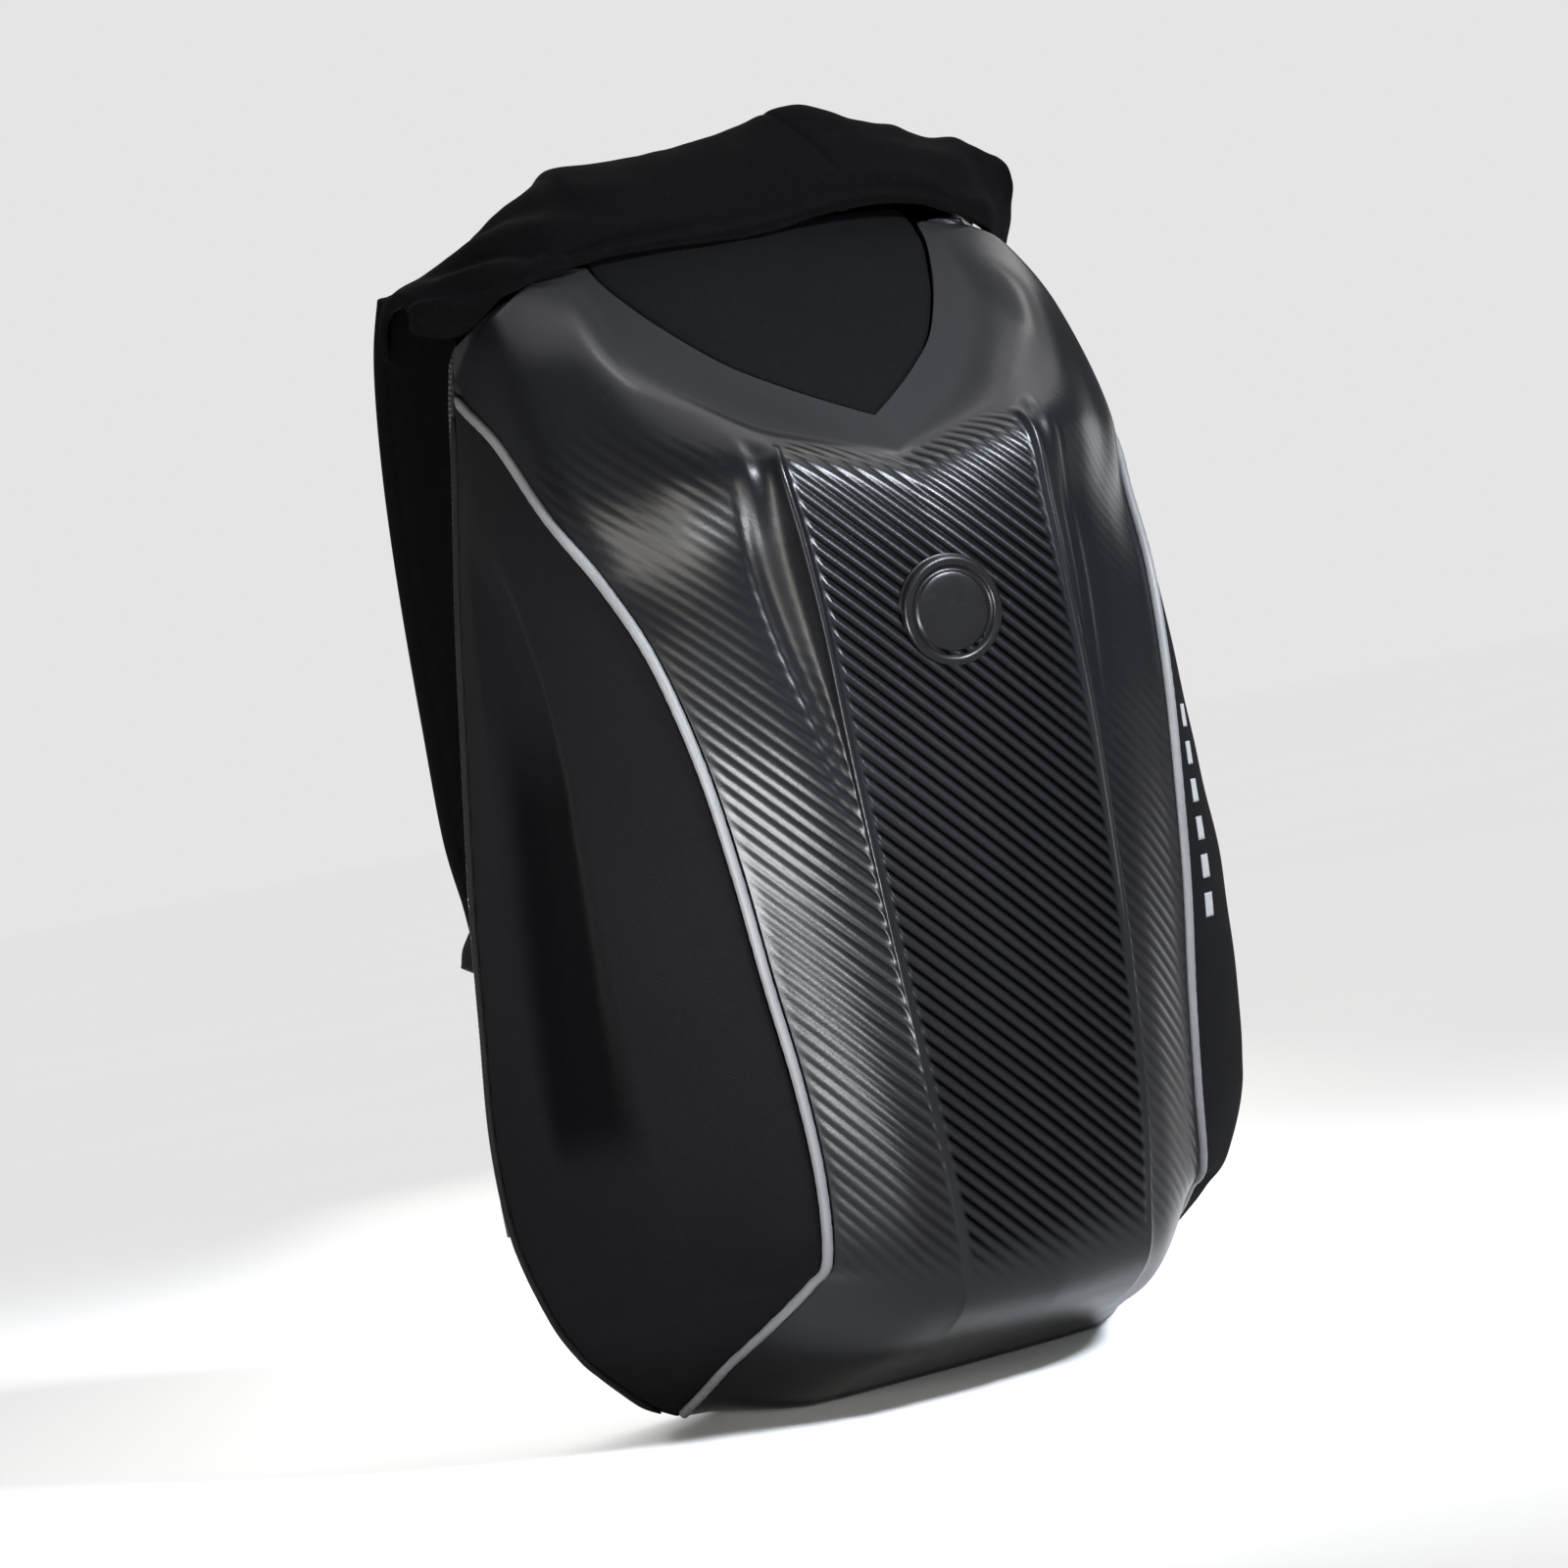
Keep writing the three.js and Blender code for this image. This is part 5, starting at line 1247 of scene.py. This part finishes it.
def neopreneMaterial(name, base, rough=0.88):
    # fine knit over foam, with slow unevenness and lint
    material, tree, shader = startMaterial(name)
    where = ownPlace(tree)
    knit = useGroup(tree, "knit", Place=where, Cell=0.0011)
    wear = useGroup(tree, "wear", Place=where, Size=16.0, Specks=0.3)
    colour = mixColour(tree, wear.outputs["Shift"], base, scaled(base, 1.55))
    between = mathNode(tree, "MULTIPLY", knit.outputs["Tone"], 0.6)
    colour = mixColour(tree, between, colour, scaled(base, 0.5))
    wire(tree, mixColour(tree, wear.outputs["Dust"], colour, softLook["lint"]), shader.inputs["Base Color"])
    varyRough(tree, shader, wear, rough - 0.06, 0.12)
    slow = addBump(tree, shader, noiseNode(tree, where, 45, 3), 0.0006, 0.5)
    addBump(tree, shader, knit.outputs["Height"], 0.00022, 0.8, slow)
    setShader(shader, Sheen_Weight=0.008, Sheen_Roughness=0.4, Specular_IOR_Level=softLook["specular"])
    return material


def trimMaterial(name, dark, light, specular):
    # reflective tape: a fine braid of two greys with dulled specks
    material, tree, shader = startMaterial(name)
    weave = useGroup(tree, "weave", Surface=ownUv(tree), Thread=0.0006)
    wear = useGroup(tree, "wear", Place=ownPlace(tree), Size=40.0, Specks=0.5)
    colour = mixColour(tree, wear.outputs["Shift"], dark, light)
    low = scaled(dark, 0.6)
    colour = mixColour(tree, mathNode(tree, "MULTIPLY", weave.outputs["Tone"], 0.25), colour, low)
    wire(tree, mixColour(tree, wear.outputs["Dust"], colour, low), shader.inputs["Base Color"])
    varyRough(tree, shader, wear, 0.3, 0.2)
    addBump(tree, shader, weave.outputs["Height"], 0.00012, 0.7)
    setShader(shader, Specular_IOR_Level=specular)
    return material


def plasticMaterial(name, base, rough, specular):
    # moulded black plastic: a fine grain with slow unevenness and dust
    material, tree, shader = startMaterial(name)
    where = ownPlace(tree)
    wear = useGroup(tree, "wear", Place=where, Size=60.0, Specks=0.25)
    colour = mixColour(tree, wear.outputs["Shift"], base, scaled(base, 1.5))
    colour = mixColour(tree, wear.outputs["Dust"], colour, (0.02, 0.02, 0.02))
    wire(tree, colour, shader.inputs["Base Color"])
    varyRough(tree, shader, wear, rough - 0.07, 0.14)
    addBump(tree, shader, noiseNode(tree, where, 1500, 2), 0.00004, 0.7)
    setShader(shader, Specular_IOR_Level=specular)
    return material


print("materials")
yokeLook = neopreneMaterial("yokeNeoprene", (0.0019, 0.0019, 0.0021))
shieldLook = neopreneMaterial("shieldNeoprene", (0.0029, 0.003, 0.0035), rough=0.72)
sideLook = clothMaterial("sideCloth", (0.0058, 0.0058, 0.0065), (0.004, 0.004, 0.0045), 0.0008, 0.00018)
gussetLook = clothMaterial("gussetCloth", (0.004, 0.004, 0.0043), (0.0027, 0.0027, 0.0029), 0.0008, 0.00018)
meshLook = clothMaterial("padMesh", (0.03, 0.03, 0.0312), (0.012, 0.012, 0.0126), 0.0019, 0.0005)
strapLook = clothMaterial("strapCloth", (0.0028, 0.0028, 0.003), (0.0018, 0.0018, 0.002), 0.0009, 0.0002)
tapeLook = clothMaterial("wovenTape", (0.02, 0.02, 0.021), (0.012, 0.012, 0.0125), 0.0013, 0.0003,
                         rough=0.6, sheen=0.02, slack=0.0)
trimLook = trimMaterial("reflectivePiping", (0.075, 0.0755, 0.078), (0.125, 0.126, 0.13), 0.3)
rimLook = trimMaterial("rimPiping", (0.006, 0.006, 0.0062), (0.011, 0.011, 0.0114), 0.02)
dashLook = trimMaterial("reflectiveDashes", (0.15, 0.152, 0.157), (0.22, 0.223, 0.23), 0.3)
plasticLook = plasticMaterial("blackPlastic", (0.014, 0.014, 0.0145), 0.42, 0.3)
badgeLook = plasticMaterial("badgePlastic", (0.003, 0.003, 0.0033), 0.3, 0.16)

print("shell, sides and piping")
makeShell()
for side, hand in ((-1, "left"), (1, "right")):
    makeSidePanel("side_panel_" + hand, side, sideLook)
    makePiping("piping_" + hand, side, trimLook)
    makeBinding("rim_binding_" + hand, side, rimLook)
makeDashes("side_dashes", dashLook)

print("shield, yoke and badge")
makeShield(shieldLook)
makeYoke(yokeLook)
makeBadge(badgeLook)

print("soft back")
makeGusset(gussetLook)
makeZip(tapeLook, plasticLook)
makeSliders(plasticLook)
makeBackPanel(meshLook)
for side, hand in ((-1, "left"), (1, "right")):
    makeStrap("shoulder_strap_" + hand, side, strapLook, tapeLook)
    makeBuckle("strap_buckle_" + hand, side, plasticLook)
    makeWebbing("strap_webbing_" + hand, side, tapeLook)

# Floor, lights and camera
stageDetail = dict(floorColour=(0.9, 0.9, 0.895), radius=40.0, rings=40, sides=72)


def makeFloor():
    # a round floor: rings of points at growing radii, radius * share^2
    d = stageDetail
    share = np.linspace(0.002, 1, d["rings"])[:, None] ** 2 * d["radius"] / mm
    c, s = circle(d["sides"]).T[:, None]
    grid = np.stack([share * c, share * s, 0 * share * c], -1)
    grid = np.concatenate([np.zeros((1,) + grid.shape[1:]), grid])
    floor = makeMesh("floor", [(grid, True, None, {})])
    mergeDoubles(floor)
    floor.data.materials.clear()
    material, tree, shader = startMaterial("paleFloor")
    tone, low = d["floorColour"], scaled(d["floorColour"], 0.97)
    wire(tree, mixColour(tree, noiseNode(tree, ownPlace(tree), 1.5, 2), tone, low), shader.inputs["Base Color"])
    setShader(shader, Roughness=0.8, Specular_IOR_Level=0.2)
    floor.data.materials.append(material)


# each soft light: bearing from the front (minus is the viewer's left), height angle, distance, width and
# height in metres, spread in degrees, power in watts and colour
lightDetail = dict(
    leftSoft=(-50, -12, 0.85, 0.3, 0.24, 50, 2.1, (0.96, 0.98, 1.0)),
    leftHigh=(-57, 10, 1.3, 0.35, 0.4, 40, 0.42, (1.0, 0.95, 0.8)),
    frontLeft=(-34, 4, 1.7, 0.45, 0.45, 40, 0.06, (0.97, 0.985, 1.0)),
    topFront=(25, 32, 1.9, 0.5, 0.36, 25, 3.5, (0.86, 0.91, 1.0)),
    topRight=(80, 62, 1.7, 0.4, 0.4, 60, 0.6, (1.0, 1.0, 0.98)),
    rightSide=(114, 2, 1.2, 0.4, 0.5, 60, 0.16, (0.95, 0.97, 1.0)),
    behind=(160, -2, 1.7, 0.6, 0.24, 34, 1.8, (1.0, 0.99, 0.97)))
skyDetail = dict(bearing=150, rise=65, strength=2.8, spread=90, fill=0.06, seen=0.785)
lightTarget = Vector((0, -0.08, 0.24))


def bearingOf(bearing, rise):
    # unit vector at a bearing from the front and a height angle: (sin b cos r, -cos b cos r, sin r)
    bearing, rise = math.radians(bearing), math.radians(rise)
    return Vector((math.sin(bearing) * math.cos(rise), -math.cos(bearing) * math.cos(rise), math.sin(rise)))


def addLight(name, data, away, distance):
    light = bpy.data.objects.new(name, data)
    light.location = lightTarget + away * distance
    light.rotation_euler = (-away).to_track_quat("-Z", "Y").to_euler()
    bpy.context.scene.collection.objects.link(light)


def makeLights():
    for name, value in lightDetail.items():
        bearing, rise, distance, width, height, spread, power, colour = value
        data = bpy.data.lights.new(name + "Light", "AREA")
        data.shape, data.size, data.size_y = "RECTANGLE", width, height
        data.spread, data.energy, data.color = math.radians(spread), power, colour
        addLight(name + "Light", data, bearingOf(bearing, rise), distance)
    d = skyDetail
    data = bpy.data.lights.new("skyLight", "SUN")
    data.energy, data.angle = d["strength"], math.radians(d["spread"])
    addLight("skyLight", data, bearingOf(d["bearing"], d["rise"]), 1.0)
    # the world shows as pale as the far floor, and lights only a little
    world = bpy.data.worlds.new("studio")
    world.use_nodes = True
    tree = world.node_tree
    ground = tree.nodes["Background"]
    ground.inputs["Color"].default_value = (1, 1, 1, 1)
    seen = tree.nodes.new("ShaderNodeLightPath").outputs["Is Camera Ray"]
    strength = mathNode(tree, "MULTIPLY_ADD", seen, d["seen"] - d["fill"], d["fill"])
    wire(tree, strength, ground.inputs["Strength"])
    bpy.context.scene.world = world
    bpy.context.scene.view_settings.view_transform = "Standard"


cameraDetail = dict(target=(0, -0.079, 0.245), distance=1.6, yaw=26.456, elevation=-0.06, roll=11.12,
                    focal=97.65, shift=(-0.0636, -0.0314))


def makeCamera():
    # level behind the target at the yaw, then turned about its own view line so the bag leans left
    d = cameraDetail
    yaw, roll = math.radians(d["yaw"]), math.radians(d["roll"])
    ahead = -bearingOf(-d["yaw"], d["elevation"])
    right = Vector((math.cos(yaw), -math.sin(yaw), 0))
    up = right.cross(ahead)
    camRight = right * math.cos(roll) - up * math.sin(roll)
    camUp = right * math.sin(roll) + up * math.cos(roll)
    spot = Vector(d["target"]) - ahead * d["distance"]
    data = bpy.data.cameras.new("camera")
    data.sensor_width, data.lens = 36, d["focal"]
    data.shift_x, data.shift_y = d["shift"]
    data.clip_end = 50
    camera = bpy.data.objects.new("camera", data)
    bpy.context.scene.collection.objects.link(camera)
    turn = Matrix((camRight, camUp, -ahead)).transposed().to_4x4()
    camera.matrix_world = Matrix.Translation(spot) @ turn
    bpy.context.scene.camera = camera


print("floor, lights and camera")
makeFloor()
makeLights()
makeCamera()
